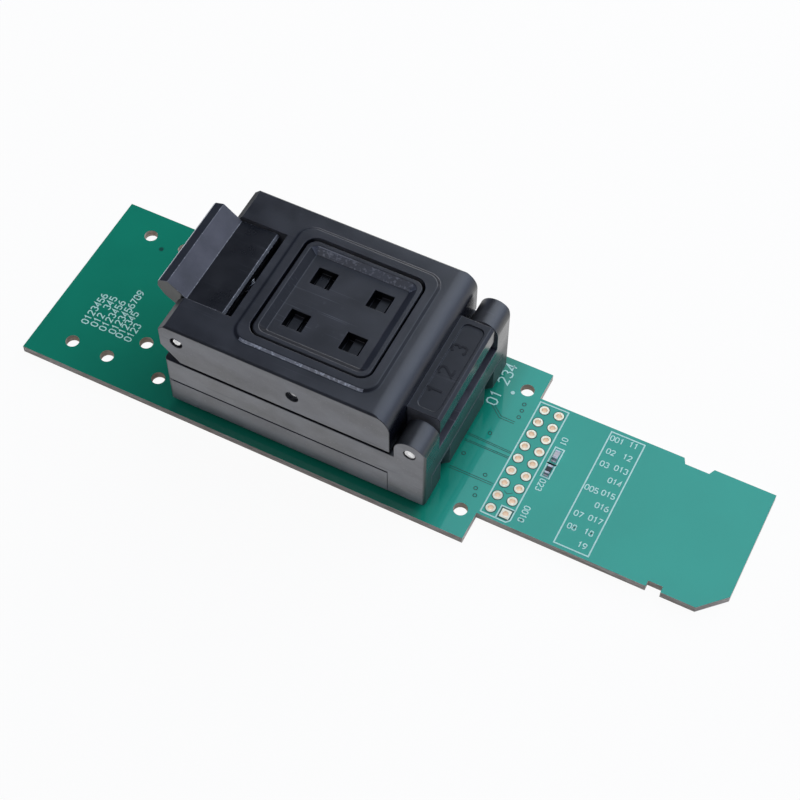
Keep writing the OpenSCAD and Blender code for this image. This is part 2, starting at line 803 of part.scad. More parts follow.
// Insulating carrier that holds the probes upright
module probe_carrier() {
    foot_l = carrier_l + 2 * carrier_foot_w;
    color("#b9a27a")
    difference() {
        union() {
            socket_box(carrier_l, carrier_l, board_t, carrier_z1);
            socket_box(foot_l, foot_l, board_t, board_t + carrier_foot_h);
        }
        at_probes() translate([0, 0, board_t - cut])
            cylinder(d = probe_d + 2 * push_fit, h = carrier_z1 - board_t + 2 * cut, $fn = probe_fn);
    }
}

// Spring probes standing on the board's pads
module contact_probes() {
    tip_z = carrier_z1 - probe_up;
    color(gold) at_probes() {
        translate([0, 0, board_t]) cylinder(d = probe_d, h = tip_z - board_t, $fn = probe_fn);
        translate([0, 0, tip_z]) cylinder(d = probe_tip_d, h = probe_z1 - tip_z, $fn = probe_fn);
    }
}

// Floating guide that centres the chip over the probes
module chip_guide() {
    color(plastic)
    difference() {
        union() {
            socket_block(guide_flange_l, guide_flange_l, corner_r, flange_z0, flange_z1);
            socket_block(guide_l, guide_l, corner_r, flange_z0, guide_z1);
        }
        socket_box(pocket_l, pocket_w, flange_z0 - cut, guide_z1 + cut);
        tapered_box(pocket_l + 2 * lead_in, pocket_w + 2 * lead_in, lead_in, guide_z1, guide_z1 - lead_in);
    }
}

// Springs that lift the chip guide
module guide_springs() {
    color(steel) at_guide_springs() translate([0, 0, guide_spring_z0])
        coil(guide_spring_d, guide_spring_wire, flange_z0 - guide_spring_z0, guide_spring_turns);
}

// Countersunk screw standing on its head at z = 0, grown by a clearance
module screw_shape(gap, top) {
    head_r = screw_head_d / 2;
    shank_r = screw_d / 2 + gap;
    rotate_extrude()
        polygon([[0, -gap], [head_r + gap, -gap], [head_r + gap, gap], [shank_r, gap + head_r - screw_d / 2],
            [shank_r, top], [0, top]]);
}

// Countersunk screws from the underside of the board into the housing
module base_screws() {
    color(steel) at_screws() screw_shape(0, split_z + screw_grip);
}

// Dowels that locate the base on the board
module locating_dowels() {
    color(steel) at_dowels() translate([0, 0, pin_sink])
        cylinder(d = dowel_d, h = split_z + dowel_grip - pin_sink);
}

// Pin through the hinge ears
module hinge_pin() {
    color(steel) cross_rod(hinge_x, hinge_z, hinge_pin_d, base_w - 2 * pin_sink);
}

// Outline of the lid in x and z
module lid_outline() {
    round_x = lid_x1 - lid_round;
    round_z = lid_z1 - lid_round;
    polygon([
        [lid_x0 + lid_low_cut, lid_z0], [lid_x1, lid_z0], [lid_x1, round_z], [round_x, round_z],
        [round_x, lid_z1], [lid_x0 + lid_top_cut, lid_z1], [lid_x0, lid_z1 - lid_top_cut],
        [lid_x0, lid_z0 + lid_low_cut]
    ]);
    translate([round_x, round_z]) circle(r = lid_round);
}

// Outline of the hinge knuckle in x and z
module knuckle_outline() {
    back = hinge_x + knuckle_back;
    top = hinge_z + knuckle_h;
    translate([hinge_x, hinge_z]) circle(r = knuckle_back);
    polygon([
        [lid_x1 - lid_round, lid_z0], [hinge_x, lid_z0], [hinge_x, hinge_z], [back, hinge_z],
        [back, top - knuckle_cut], [back - knuckle_cut, top], [lid_x1 - lid_round, top]
    ]);
}

// Outline of the space in the lid for the latch, in x and z from the pivot
module latch_space_outline() {
    far = pivot_in + cut;
    high = lid_z1 - pivot_z + cut;
    circle(r = hub_r + latch_gap);
    translate([-far, -pocket_down]) square([far + plate_back + swing_gap, high + pocket_down]);
    translate([-far, -pivot_up - cut]) square([far + arm_x1 + latch_gap, pivot_up + cut]);
}

// Chamfers along the lid's two top side edges
module lid_edge_wedges() {
    for (side = [0, 1])
        mirror([0, side, 0])
            translate([lid_x0 - cut, -base_w / 2, lid_z1]) rotate([90, 0, 90])
                linear_extrude(lid_x1 - lid_x0 + 2 * cut)
                    polygon([
                        [-cut, cut], [-cut, -lid_edge_cut], [0, -lid_edge_cut],
                        [lid_edge_cut, 0], [lid_edge_cut, cut]
                    ]);
}

// Bore across the lid for a pin, with a ring round each end
module lid_pin_bore(x, z, d) {
    cross_rod(x, z, d + 2 * push_fit, base_w + 2 * cut);
    for (y = [-1, 1])
        translate([0, y * (base_w / 2 + cut / 2 - pin_ring_d / 2), 0])
            cross_rod(x, z, d + 2 * pin_ring, pin_ring_d + cut);
}

// Lid with the pusher's opening, the raised frame round it, the latch slot and the hinge knuckle
module lid_cover() {
    color(plastic)
    difference() {
        union() {
            cross_bar(base_w) lid_outline();
            cross_bar(knuckle_w) knuckle_outline();
            tapered_block(frame_l, frame_w, frame_r, frame_slope, lid_z1, frame_z);
        }
        lid_edge_wedges();
        socket_block(pusher_hole_l, pusher_hole_l, pusher_r + pusher_gap, lid_z0 - cut, frame_z + cut);
        translate([pivot_x, 0, pivot_z]) cross_bar(slot_w) latch_space_outline();
        at_latch_spring() cylinder(d = latch_spring_d + 2 * latch_gap, h = lid_h);
        lid_pin_bore(pivot_x, pivot_z, latch_pin_d);
        lid_pin_bore(socket_x, shaft_z, shaft_d);
        cross_rod(hinge_x, hinge_z, hinge_pin_d + 2 * run_fit, base_w);
        translate([(lid_x1 + hinge_x + knuckle_back) / 2, 0, hinge_z + knuckle_h - panel_d])
            linear_extrude(lid_h) round_rect(panel_l, knuckle_w - 2 * panel_margin, panel_margin);
    }
}

// Outline of the latch in x and z from its pivot: thumb tab, hub, rear plate and hook arm
module latch_outline() {
    end_z = tab_rise - tab_fall;
    under_z = end_z - tab_end_h;
    toe_x = arm_x1 + hook_reach;
    toe_z = hook_top - hook_h / 3;
    circle(r = hub_r);
    polygon([
        [plate_back, plate_low], [plate_back, plate_top - plate_cut], [plate_back - plate_cut, plate_top],
        [-tab_root, plate_top - plate_fall], [-tab_ridge, tab_rise],
        [tab_lean - tab_reach, end_z], [-tab_reach, under_z],
        [0.4 * tab_under_l - tab_reach, under_z - 0.6 * tab_under_h],
        [tab_under_l - tab_reach, under_z - tab_under_h],
        [arm_x0, -shoulder_down], [arm_x0, hook_low], [arm_x1 - hook_reach / 3, hook_low], [toe_x, toe_z],
        [toe_x, hook_top], [arm_x1, hook_top], [arm_x1, 0], [hub_r, plate_low]
    ]);
}

// Latch lever with its thumb tab and hook
module latch() {
    color(plastic) translate([pivot_x, 0, pivot_z])
        difference() {
            cross_bar(latch_w) latch_outline();
            cross_rod(0, 0, latch_pin_d + 2 * run_fit, latch_w + 2 * cut);
        }
}

// Pin that the latch turns on
module latch_pin() {
    color(steel) cross_rod(pivot_x, pivot_z, latch_pin_d, base_w - 2 * pin_sink);
}

// Spring under the middle of the latch's rear plate
module latch_spring() {
    color(steel) at_latch_spring()
        coil(latch_spring_d, latch_spring_wire, pivot_z + plate_low - spring_z0, latch_spring_turns);
}

// Pusher with its rim, its sunk field and four windows
module pusher() {
    color(plastic)
    difference() {
        socket_block(pusher_l, pusher_l, pusher_r, pad_z1, pusher_z1);
        tapered_block(pusher_l - 2 * rim_w, pusher_l - 2 * rim_w, field_r, field_slope, pusher_z1, field_z);
        for (x = [-1, 1], y = [-1, 1])
            translate([x * window_pitch_x / 2, y * window_pitch_y / 2, 0])
                difference() {
                    socket_box(window_l, window_l, field_z - window_d, field_z + cut);
                    translate([x * rib_shift, 0, 0])
                        socket_box(rib_w, window_l + cut, field_z - window_d - cut, field_z - rib_down);
                }
        cross_rod(socket_x, shaft_z, shaft_d + 2 * run_fit, base_w);
        at_pegs() translate([0, 0, pad_z1 - cut])
            cylinder(d = peg_d + 2 * push_fit, h = peg_h + push_fit + cut);
    }
}

// Copies at the four pegs of the pressure pad
module at_pegs() {
    for (x = [-1, 1], y = [-1, 1])
        translate([socket_x + x * peg_span / 2, y * peg_span / 2, 0]) children();
}

// Cross shaft that the pusher rocks on
module pusher_shaft() {
    color(steel) cross_rod(socket_x, shaft_z, shaft_d, base_w - 2 * pin_ring_d);
}

// Pad that presses the chip onto the probes
module pressure_pad() {
    color("#8d9299") {
        socket_box(pad_plate_l, pad_plate_l, pad_z0, pad_z1);
        socket_box(nose_l, nose_w, nose_z, pad_z1);
        at_pegs() translate([0, 0, pad_z1 - cut / 2]) cylinder(d = peg_d, h = peg_h + cut / 2);
    }
}

board();
header_eyelets();
card_contacts();
status_led();
led_resistor();
chip_end_caps();
base_housing();
probe_block();
probe_carrier();
contact_probes();
chip_guide();
guide_springs();
base_screws();
locating_dowels();
hinge_pin();
lid_cover();
latch();
latch_pin();
latch_spring();
pusher();
pusher_shaft();
pressure_pad();
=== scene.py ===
# %% [markdown]
# # Clamshell test socket on a card-edge board
# The CAD model already gives every piece its true size, place and motion. This lesson dresses it: worn
# satin plastic with softened edges, a board with its resist, copper and printed ink, and a camera and
# lamps set up as for the picture. Everything is in metres, in the CAD frame.

# %% Load the CAD frame
import math

import bmesh
import bpy
from mathutils import Matrix, Vector


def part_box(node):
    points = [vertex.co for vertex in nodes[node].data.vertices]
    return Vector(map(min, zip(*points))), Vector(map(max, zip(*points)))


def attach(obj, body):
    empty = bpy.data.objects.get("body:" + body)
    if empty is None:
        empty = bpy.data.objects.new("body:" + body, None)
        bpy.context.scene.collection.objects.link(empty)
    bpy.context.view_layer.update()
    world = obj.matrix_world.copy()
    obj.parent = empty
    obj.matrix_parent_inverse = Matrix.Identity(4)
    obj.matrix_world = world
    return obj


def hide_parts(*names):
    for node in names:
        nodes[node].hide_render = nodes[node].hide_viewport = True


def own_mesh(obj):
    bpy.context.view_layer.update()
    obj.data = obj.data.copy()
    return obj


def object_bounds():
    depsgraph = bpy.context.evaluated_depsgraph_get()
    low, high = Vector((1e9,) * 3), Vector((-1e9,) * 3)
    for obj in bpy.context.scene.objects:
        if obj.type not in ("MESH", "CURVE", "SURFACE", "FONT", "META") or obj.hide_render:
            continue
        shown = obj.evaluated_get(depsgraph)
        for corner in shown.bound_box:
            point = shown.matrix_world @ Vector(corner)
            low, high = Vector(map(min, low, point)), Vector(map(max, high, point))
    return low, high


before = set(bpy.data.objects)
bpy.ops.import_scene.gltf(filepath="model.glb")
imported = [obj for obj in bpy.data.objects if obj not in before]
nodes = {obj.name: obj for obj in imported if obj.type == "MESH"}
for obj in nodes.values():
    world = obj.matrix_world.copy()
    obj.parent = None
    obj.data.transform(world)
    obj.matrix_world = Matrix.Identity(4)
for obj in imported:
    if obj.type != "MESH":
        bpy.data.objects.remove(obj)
cad_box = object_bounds()
scene = bpy.context.scene
scene.view_settings.view_transform = "Standard"
MM = 0.001
print("CAD nodes:", len(nodes), "box in mm:", [round(v / MM, 1) for v in cad_box[1] - cad_box[0]])

# %% [markdown]
# ## Camera
# The picture was taken from the front right, looking down at more than half a right angle, with a long
# lens. The header holes sit on a known grid, so the camera's place follows from where they appear in
# the picture. A camera looks along its own minus Z, so turning its Z axis to point backwards aims it.

# %% Camera
AZIMUTH = math.radians(26.87)
ELEVATION = math.radians(56.05)
AIM = Vector((-0.14, 1.46, 1.4)) * MM
DISTANCE = 295.6 * MM
LENS = 82.3
SENSOR = 36.0

back = Vector((
    math.sin(AZIMUTH) * math.cos(ELEVATION),
    -math.cos(AZIMUTH) * math.cos(ELEVATION),
    math.sin(ELEVATION),
))
camera_data = bpy.data.cameras.new("photo_camera")
camera_data.lens = LENS
camera_data.sensor_width = SENSOR
camera = bpy.data.objects.new("photo_camera", camera_data)
camera.location = AIM + back * DISTANCE
camera.rotation_euler = back.to_track_quat("Z", "Y").to_euler()
scene.collection.objects.link(camera)
scene.camera = camera
print("camera at mm:", [round(v / MM, 1) for v in camera.location])

# %% [markdown]
# ## Nodes
# A material is a small graph of nodes. Written out by hand, each node and each link takes a line of its
# own. So one helper adds a node and fills or links its sockets by name, and a finish reads as a list of
# its layers.

# %% Nodes
def feed(tree, socket, value):
    """Links an input to another node's output, or sets it to a plain value."""
    if isinstance(value, bpy.types.NodeSocket):
        tree.links.new(value, socket)
    else:
        socket.default_value = value


def fill(tree, node, **sockets):
    """Feeds a node's inputs by name, where _ in a name stands for a space."""
    for key, value in sockets.items():
        feed(tree, node.inputs[key.replace("_", " ")], value)


def add_node(tree, kind, **sockets):
    """Adds a shader node and fills its inputs."""
    made = tree.nodes.new("ShaderNode" + kind)
    fill(tree, made, **sockets)
    return made


def math_node(tree, operation, first, second=None):
    """A math node, where each input is a socket or a number."""
    made = add_node(tree, "Math")
    made.operation = operation
    for socket, value in zip(made.inputs, (first, second)):
        if value is not None:
            feed(tree, socket, value)
    return made.outputs[0]


def start_material(name, roughness, metallic=0.0, specular=0.5):
    """A principled material with its constants on the shader's own sockets."""
    material = bpy.data.materials.new(name)
    material.use_nodes = True
    tree = material.node_tree
    shader = tree.nodes["Principled BSDF"]
    fill(tree, shader, Roughness=roughness, Metallic=metallic, Specular_IOR_Level=specular)
    place = add_node(tree, "TexCoord").outputs["Object"]
    return material, tree, shader, place


print("node helpers ready")

# %% [markdown]
# ## Textures and colours
# Wear, grain and mottling are all noise, at different scales. Textures use object coordinates: the
# meshes are at true size, so a texture scale of 1000 means a feature about a millimetre across. Noise
# that is stretched one way gives streaks, and a ramp or a change of levels turns any noise into a
# colour, a roughness or a mask.

# %% Textures and colours
MIX_INPUTS = (0, 6, 7)
MIX_RESULT = 2
BUMP_DEPTH = 0.01 * MM


def split(tree, vector):
    """The x, y and z of a vector, as three sockets."""
    parts = add_node(tree, "SeparateXYZ", Vector=vector).outputs
    return parts["X"], parts["Y"], parts["Z"]


def facing(tree):
    """Which way the surface points, as x, y and z sockets."""
    return split(tree, add_node(tree, "NewGeometry").outputs["Normal"])


def noise(tree, place, scale, detail=3.0, stretch=None, turn=0.0):
    """Noise at a scale in features per metre, or drawn out by a stretch after a turn about z."""
    if stretch:
        mapped = add_node(tree, "Mapping", Vector=place, Rotation=(0.0, 0.0, turn), Scale=stretch)
        place = mapped.outputs["Vector"]
    return add_node(tree, "TexNoise", Vector=place, Scale=scale, Detail=detail).outputs["Fac"]


def scaled(colour, share):
    """A colour made darker or lighter by a share."""
    return tuple(share * part for part in colour)


def ramp(tree, factor, *stops):
    """Colour ramp from (position, colour) stops."""
    made = add_node(tree, "ValToRGB", Fac=factor)
    for element, (position, colour) in zip(made.color_ramp.elements, stops):
        element.position = position
        element.color = (*colour, 1.0)
    return made.outputs["Color"]


def levels(tree, value, low, high, to_low=0.0, to_high=1.0):
    """Spreads a stretch of a value over a new range."""
    made = add_node(tree, "MapRange", Value=value, From_Min=low, From_Max=high, To_Min=to_low, To_Max=to_high)
    return made.outputs["Result"]


def mix(tree, factor, first, second):
    """Mixes two colours, each a tuple or a socket, by a factor that is a socket."""
    made = add_node(tree, "Mix")
    made.data_type = "RGBA"
    for index, value in zip(MIX_INPUTS, (factor, first, second)):
        feed(tree, made.inputs[index], (*value, 1.0) if isinstance(value, tuple) else value)
    return made.outputs[MIX_RESULT]


def bump(tree, shader, height, strength):
    """Feeds a height into the shader's normal."""
    made = add_node(tree, "Bump", Height=height, Strength=strength, Distance=BUMP_DEPTH)
    fill(tree, shader, Normal=made.outputs["Normal"])


print("texture helpers ready, bump depth in mm:", BUMP_DEPTH / MM)

# %% [markdown]
# ## Layers of the satin plastic
# The socket is moulded in a dark, slightly blue plastic with a fine eroded texture. Its long sides are
# painted paler, with blotches and specks: a painted reflection of the white floor. Handling has left hair
# scratches and scuffs. An image of plastic would repeat and need unwrapping, so the finish is made of
# layers of noise, each a function of its own: the painted reflection on the sides, the scratches, and a
# roughness that follows the mottle and the marks.

# %% Layers of the satin plastic
SIDE_BLOTCH_STRETCH = (150.0, 150.0, 260.0)
SPECK_SCALE = 2300.0
HAIRS_ALONG = {"stretch": (60.0, 2600.0, 900.0), "turn": 0.5}
HAIRS_ACROSS = {"stretch": (80.0, 3100.0, 900.0), "turn": -0.9}
SCUFF_SCALE = 900.0
WORN_SCALE = 4000.0
PATCH_SCALE = 70.0
MOTTLE_SWING = 0.06
MARK_HAZE = 0.1
ROUNDED_HAZE = 0.08
UPRIGHT_POLISH = 0.12
UPPER_FACES = (9.0 * MM, 12.0 * MM)
LEAST_ROUGHNESS = 0.1


def painted_side_reflection(tree, place, toward_y, skin, side_reflection):
    """A painted reflection of the floor, pale with blotches and specks, on faces that point sideways, and the
    skin elsewhere.
    """
    sideways = levels(tree, math_node(tree, "ABSOLUTE", toward_y), 0.75, 0.95)
    side_blotches = noise(tree, place, 1.0, 8.0, SIDE_BLOTCH_STRETCH)
    side = ramp(tree, side_blotches, (0.34, scaled(side_reflection, 0.66)), (0.66, scaled(side_reflection, 1.34)))
    specks = levels(tree, noise(tree, place, SPECK_SCALE, 6.0), 0.6, 0.72, 0.0, 0.4)
    return mix(tree, sideways, skin, mix(tree, specks, side, scaled(side_reflection, 2.2)))


def scratch_marks(tree, place, wear):
    """Hair scratches in two directions and scuffs, which show only in patches."""
    along = levels(tree, noise(tree, place, 1.0, 2.0, **HAIRS_ALONG), 0.66, 0.72)
    across = levels(tree, noise(tree, place, 1.0, 2.0, **HAIRS_ACROSS), 0.67, 0.73)
    rough = noise(tree, place, SCUFF_SCALE + WORN_SCALE * wear, 8.0)
    scuffs = levels(tree, rough, 0.62 - 0.4 * wear, 0.8 - 0.4 * wear, 0.0, 0.6 + wear)
    patches = levels(tree, noise(tree, place, PATCH_SCALE, 2.0), 0.45 - wear, 0.65 - wear)
    strongest = math_node(tree, "MAXIMUM", math_node(tree, "MAXIMUM", along, across), scuffs)
    return math_node(tree, "MULTIPLY", strongest, patches)


def satin_roughness(tree, place, toward_x, mottle, marks, roughness):
    """Hazier on rounded faces, and smoother on the upper end faces, which slid along the mould."""
    even = levels(tree, mottle, 0.25, 0.75, roughness - MOTTLE_SWING, roughness + MOTTLE_SWING)
    worn = math_node(tree, "ADD", even, levels(tree, marks, 0.0, 1.0, 0.0, MARK_HAZE))
    slant = math_node(tree, "ABSOLUTE", toward_x)
    hazy = math_node(tree, "ADD", worn, levels(tree, slant, 0.1, 0.6, 0.0, ROUNDED_HAZE))
    polish = levels(tree, slant, 0.9, 0.99, 0.0, ROUNDED_HAZE + UPRIGHT_POLISH)
    upper = levels(tree, split(tree, place)[2], *UPPER_FACES)
    upright = math_node(tree, "SUBTRACT", hazy, math_node(tree, "MULTIPLY", polish, upper))
    return math_node(tree, "MAXIMUM", upright, LEAST_ROUGHNESS)


print("layers of the satin plastic ready")

# %% [markdown]
# ## A shelf of plastics
# In the picture one resin shows many tones: the tops mirror a dim room, the sides carry a painted
# reflection of the floor, the slopes and the edges are rubbed, and some slopes and edges carry painted
# light as well. Painted masks would have to be made anew for each piece, so each tone is a finish with
# its own shade, roughness and gloss, named for where it is found.

# %% A shelf of plastics
# The pale shade of the sides is a painted reflection of the white floor.
PAINTED_SIDE_REFLECTION = (0.165, 0.161, 0.166)
RUBBED_SHADE = (0.07, 0.074, 0.086)
MOTTLE_SCALE = 220.0
GRAIN_SCALE = 6000.0


def satin_plastic(
    name, shade, roughness, rubbed=RUBBED_SHADE, scratch=0.5, specular=1.0, side_reflection=None, wear=0.0,
):
    """Dark plastic with scratches in patches. More wear spreads the patches and makes the scuffs finer."""
    material, tree, shader, place = start_material(name, roughness, specular=specular)
    toward_x, toward_y, _ = facing(tree)
    mottle = noise(tree, place, MOTTLE_SCALE, 6.0)
    colour = ramp(tree, mottle, (0.32, scaled(shade, 0.7)), (0.68, scaled(shade, 1.35)))
    if side_reflection:
        colour = painted_side_reflection(tree, place, toward_y, colour, side_reflection)
    marks = scratch_marks(tree, place, wear)
    colour = mix(tree, levels(tree, marks, 0.0, 1.0, 0.0, scratch), colour, rubbed)
    haze = satin_roughness(tree, place, toward_x, mottle, marks, roughness)
    fill(tree, shader, Base_Color=colour, Roughness=haze)
    bump(tree, shader, noise(tree, place, GRAIN_SCALE), 0.35)
    return material


lid_plastic = satin_plastic("lid_plastic", (0.0085, 0.0095, 0.0145), 0.36, specular=0.9, side_reflection=PAINTED_SIDE_REFLECTION)
base_plastic = satin_plastic("base_plastic", (0.012, 0.0125, 0.0135), 0.34, side_reflection=PAINTED_SIDE_REFLECTION)
block_plastic = satin_plastic("block_plastic", (0.011, 0.0115, 0.0125), 0.36, side_reflection=PAINTED_SIDE_REFLECTION)
latch_plastic = satin_plastic("latch_plastic", (0.006, 0.0062, 0.008), 0.3, specular=0.82, scratch=0.6)
pusher_plastic = satin_plastic("pusher_plastic", (0.009, 0.01, 0.0155), 0.4, specular=0.8, scratch=1.0)
guide_plastic = satin_plastic("guide_plastic", (0.014, 0.014, 0.016), 0.42)
knuckle_skin = satin_plastic("knuckle_skin", (0.0075, 0.0085, 0.0135), 0.34, specular=0.55, side_reflection=PAINTED_SIDE_REFLECTION)
dull_slope = satin_plastic("dull_slope", (0.009, 0.01, 0.0145), 0.5, specular=0.3, scratch=1.0)
matt_slope = satin_plastic("matt_slope", (0.011, 0.012, 0.0165), 0.5, specular=0.13, scratch=0.8)
# Near black: painted shade inside the windows and in the grooves of the broken rims.
painted_shade_black = satin_plastic("painted_shade_black", (0.004, 0.0042, 0.005), 0.5, specular=0.15, scratch=0.3)
# The side bevels of the lower block take the same painted reflection of the floor.
painted_reflection_edge = satin_plastic("painted_reflection_edge", PAINTED_SIDE_REFLECTION, 0.4, specular=0.5, side_reflection=PAINTED_SIDE_REFLECTION)
print("plastics:", lid_plastic.name, base_plastic.name, block_plastic.name, latch_plastic.name)

# %% [markdown]
# ## Worn plastics and painted light
# Where hands and parts rub, the same resin turns pale. These finishes have a second, lighter shade for
# the rubbed marks, and some of them have more wear. Some are also pale as painted light: a painted
# highlight on the frame's near slope, a painted sheen on slopes of the dish and the tab, painted light
# in the cut below the knuckle, and a painted glint on the tab's lip. A bevel or a face takes a whole
# material, so the wear and the painted light move with it.

# %% Worn plastics and painted light
rubbed_edge = satin_plastic(
    "rubbed_edge", (0.045, 0.048, 0.058), 0.34, rubbed=(0.12, 0.125, 0.14), scratch=0.9,
)
worn_edge = satin_plastic(
    "worn_edge", (0.018, 0.0195, 0.025), 0.4, rubbed=(0.08, 0.084, 0.096), scratch=0.9, specular=0.6,
)
# Scratched, and paler still as a painted highlight on the frame's near slope.
rubbed_slope_painted_highlight = satin_plastic(
    "rubbed_slope_painted_highlight", (0.17, 0.173, 0.19), 0.4, rubbed=(0.7, 0.71, 0.74), scratch=1.0, wear=0.3,
)
# Scuffed, and pale as a painted sheen on the dish's far slope and the latch's edges.
scuffed_slope_painted_sheen = satin_plastic(
    "scuffed_slope_painted_sheen", (0.07, 0.073, 0.088), 0.42, rubbed=(0.34, 0.34, 0.36), scratch=1.0, wear=0.25,
)
# Blotchy, and pale as painted light: a painted sheen on the tab's slope, and painted light in the cut below
# the knuckle.
painted_light_skin = satin_plastic(
    "painted_light_skin", (0.078, 0.076, 0.089), 0.36, rubbed=(0.13, 0.13, 0.145), scratch=1.0, specular=0.36,
)
# Near white: a painted glint on the tab's lip.
painted_glint_edge = satin_plastic(
    "painted_glint_edge", (0.72, 0.74, 0.74), 0.3, rubbed=(0.9, 0.92, 0.92), scratch=1.0,
)
worn = (rubbed_edge, worn_edge, rubbed_slope_painted_highlight, scuffed_slope_painted_sheen, painted_light_skin, painted_glint_edge)
print("worn plastics:", [finish.name for finish in worn])

# %% [markdown]
# ## Softened copies
# No moulded edge is perfectly sharp: it has a small radius, which catches the light as a thin line. The
# CAD solids have the big shapes, so each piece is a copy of its solid with the flat faces cleaned up
# and a small bevel on every real edge. Rounding them all in CAD would be slow, and a modifier gives the
# same glint. The bevel's own faces take the second finish of the list, as hands wear the edges first;
# on the lower block and the latch that finish holds painted light.

# %% Softened copies
WELD = 0.001 * MM
FLAT_ANGLE = math.radians(0.5)
EDGE_ANGLE = math.radians(18)
EDGE_FINISH = 1


def clean_shape(mesh, finishes, zone, rim):
    """Merges the flat faces of a mesh, gives each face its finish and breaks the rim."""
    cleaned = bmesh.new()
    cleaned.from_mesh(mesh)
    bmesh.ops.remove_doubles(cleaned, verts=cleaned.verts, dist=WELD)
    bmesh.ops.dissolve_limit(cleaned, angle_limit=FLAT_ANGLE, verts=cleaned.verts, edges=cleaned.edges)
    for face in cleaned.faces:
        face.smooth = True
        finish = zone(face.calc_center_median() / MM, face.normal) if zone else finishes[0]
        face.material_index = finishes.index(finish)
    if rim:
        on_rim, width, finish = rim
        broken = [edge for edge in cleaned.edges if all(on_rim(vert.co / MM) for vert in edge.verts)]
        index = finishes.index(finish)
        bmesh.ops.bevel(cleaned, geom=broken, offset=width, segments=1, affect="EDGES", material=index)
    cleaned.to_mesh(mesh)
    cleaned.free()


def moulded_copy(node, name, body, finishes, width, zone=None, rim=None):
    """A softened copy of a CAD node, which it replaces. Its bevels take the second finish.

    A zone chooses the finish of each face. A rim is an edge that is broken more than the others: a test
    for its points, its width and its finish.
    """
    mesh = nodes[node].data.copy()
    mesh.name = name
    if "custom_normal" in mesh.attributes:
        mesh.attributes.remove(mesh.attributes["custom_normal"])
    mesh.materials.clear()
    for material in finishes:
        mesh.materials.append(material)
    clean_shape(mesh, finishes, zone, rim)
    mesh.set_sharp_from_angle(angle=EDGE_ANGLE)
    piece = bpy.data.objects.new(name, mesh)
    scene.collection.objects.link(piece)
    bevel = piece.modifiers.new("softened edges", "BEVEL")
    bevel.width = width
    bevel.segments = 2
    bevel.limit_method = "ANGLE"
    bevel.angle_limit = EDGE_ANGLE
    bevel.use_clamp_overlap = False
    bevel.loop_slide = False
    bevel.harden_normals = True
    bevel.material = EDGE_FINISH
    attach(piece, body)
    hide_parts(node)
    return piece


print("edges sharper than", round(math.degrees(EDGE_ANGLE)), "degrees get softened")

# %% [markdown]
# ## Finishes by place
# One moulding shows several finishes: a dark knuckle, a rubbed frame with a painted highlight on its
# near slope, windows painted near black inside as painted shade. A small function looks at where a face
# is, in millimetres, and at how it points, and returns the finish that belongs there. Picking the faces
# by their numbers would be quicker, but would break at the next change of the CAD.

# %% Finishes by place
LEAN = 0.3
RISE = 0.2
STRAIGHT = 0.15
FLAT = 0.9
FRAME_SLOPE = (0.85, 0.95)
DISH_SLOPE = (0.4, 0.95)
KNUCKLE_X = 6.6
FRAME_FOOT_Z = 22.08
TAB_X = -32.0
RELIEF_X = 6.0
RELIEF_Z = 12.6
WINDOW_REACH = 7.5
WINDOW_Z = (19.0, 21.15)
RIB_Z = 19.9
socket_x = (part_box("pusher")[0].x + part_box("pusher")[1].x) / 2 / MM


def lid_zone(centre, normal):
    """The knuckle keeps its dark skin, the far chamfer is dull, and only the frame's near slope is rubbed,
    with a painted highlight.
    """
    if centre.x > KNUCKLE_X:
        return knuckle_skin
    if normal.x < -LEAN and normal.z > RISE and centre.y > 0.0:
        return dull_slope
    if FRAME_SLOPE[0] < normal.z < FRAME_SLOPE[1] and centre.z > FRAME_FOOT_Z:
        if normal.y > RISE:
            return matt_slope
        return rubbed_slope_painted_highlight if normal.y < -RISE and abs(normal.x) < STRAIGHT else dull_slope
    return lid_plastic


def latch_zone(centre, normal):
    """Thumbs have left the tab's slope blotchy, and its pale tone is a painted sheen."""
    return painted_light_skin if centre.x < TAB_X and normal.x > LEAN and normal.z > LEAN else latch_plastic


def base_zone(centre, normal):
    """The floor of the cut below the knuckle is painted pale, as painted light in its shade."""
    return painted_light_skin if centre.x > RELIEF_X and normal.z > FLAT and centre.z < RELIEF_Z else base_plastic


def pusher_zone(centre, normal):
    """The windows are painted dark inside as painted shade, the far slope of the dish is scuffed and paler as
    a painted sheen, and only its right slope is clean.
    """
    inside = abs(centre.x - socket_x) < WINDOW_REACH and abs(centre.y) < WINDOW_REACH
    if inside and WINDOW_Z[0] < centre.z < WINDOW_Z[1]:
        # The rib tops inside the windows take the darker latch plastic as painted shade.
        return latch_plastic if normal.z > FLAT and centre.z > RIB_Z else painted_shade_black
    if DISH_SLOPE[0] < normal.z < DISH_SLOPE[1]:
        if abs(normal.y) > LEAN:
            return scuffed_slope_painted_sheen if normal.y < 0.0 else matt_slope
        return pusher_plastic if normal.x < -LEAN else dull_slope
    return pusher_plastic


print("finishes go by place on the lid, latch, base and pusher, socket centre x in mm:", round(socket_x, 3))

# %% [markdown]
# ## Broken rims
# Three edges are broken wider than the rest: the tab's lip, the long upper edges of the lower block,
# and the pusher's outer edge. Each draws a line that shows in the picture: a painted glint along the
# lip, and painted shade along the other two. A test on the ends of an edge says whether it belongs to
# the rim, so one bevel cuts the whole rim before the small bevel runs over the piece.

# %% Broken rims
LIP_X = -36.5
LIP_Z = 23.2
PUSHER_REACH = 9.5
BLOCK_NEAR = 0.002
PUSHER_NEAR = 0.01
pusher_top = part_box("pusher")[1].z / MM
block_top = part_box("probe_block")[1].z / MM
block_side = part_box("probe_block")[1].y / MM


def tab_lip(point):
    """The tab's outer edge, where nails lift it, is broken and painted near white as a painted glint."""
    return point.x < LIP_X and point.z > LIP_Z


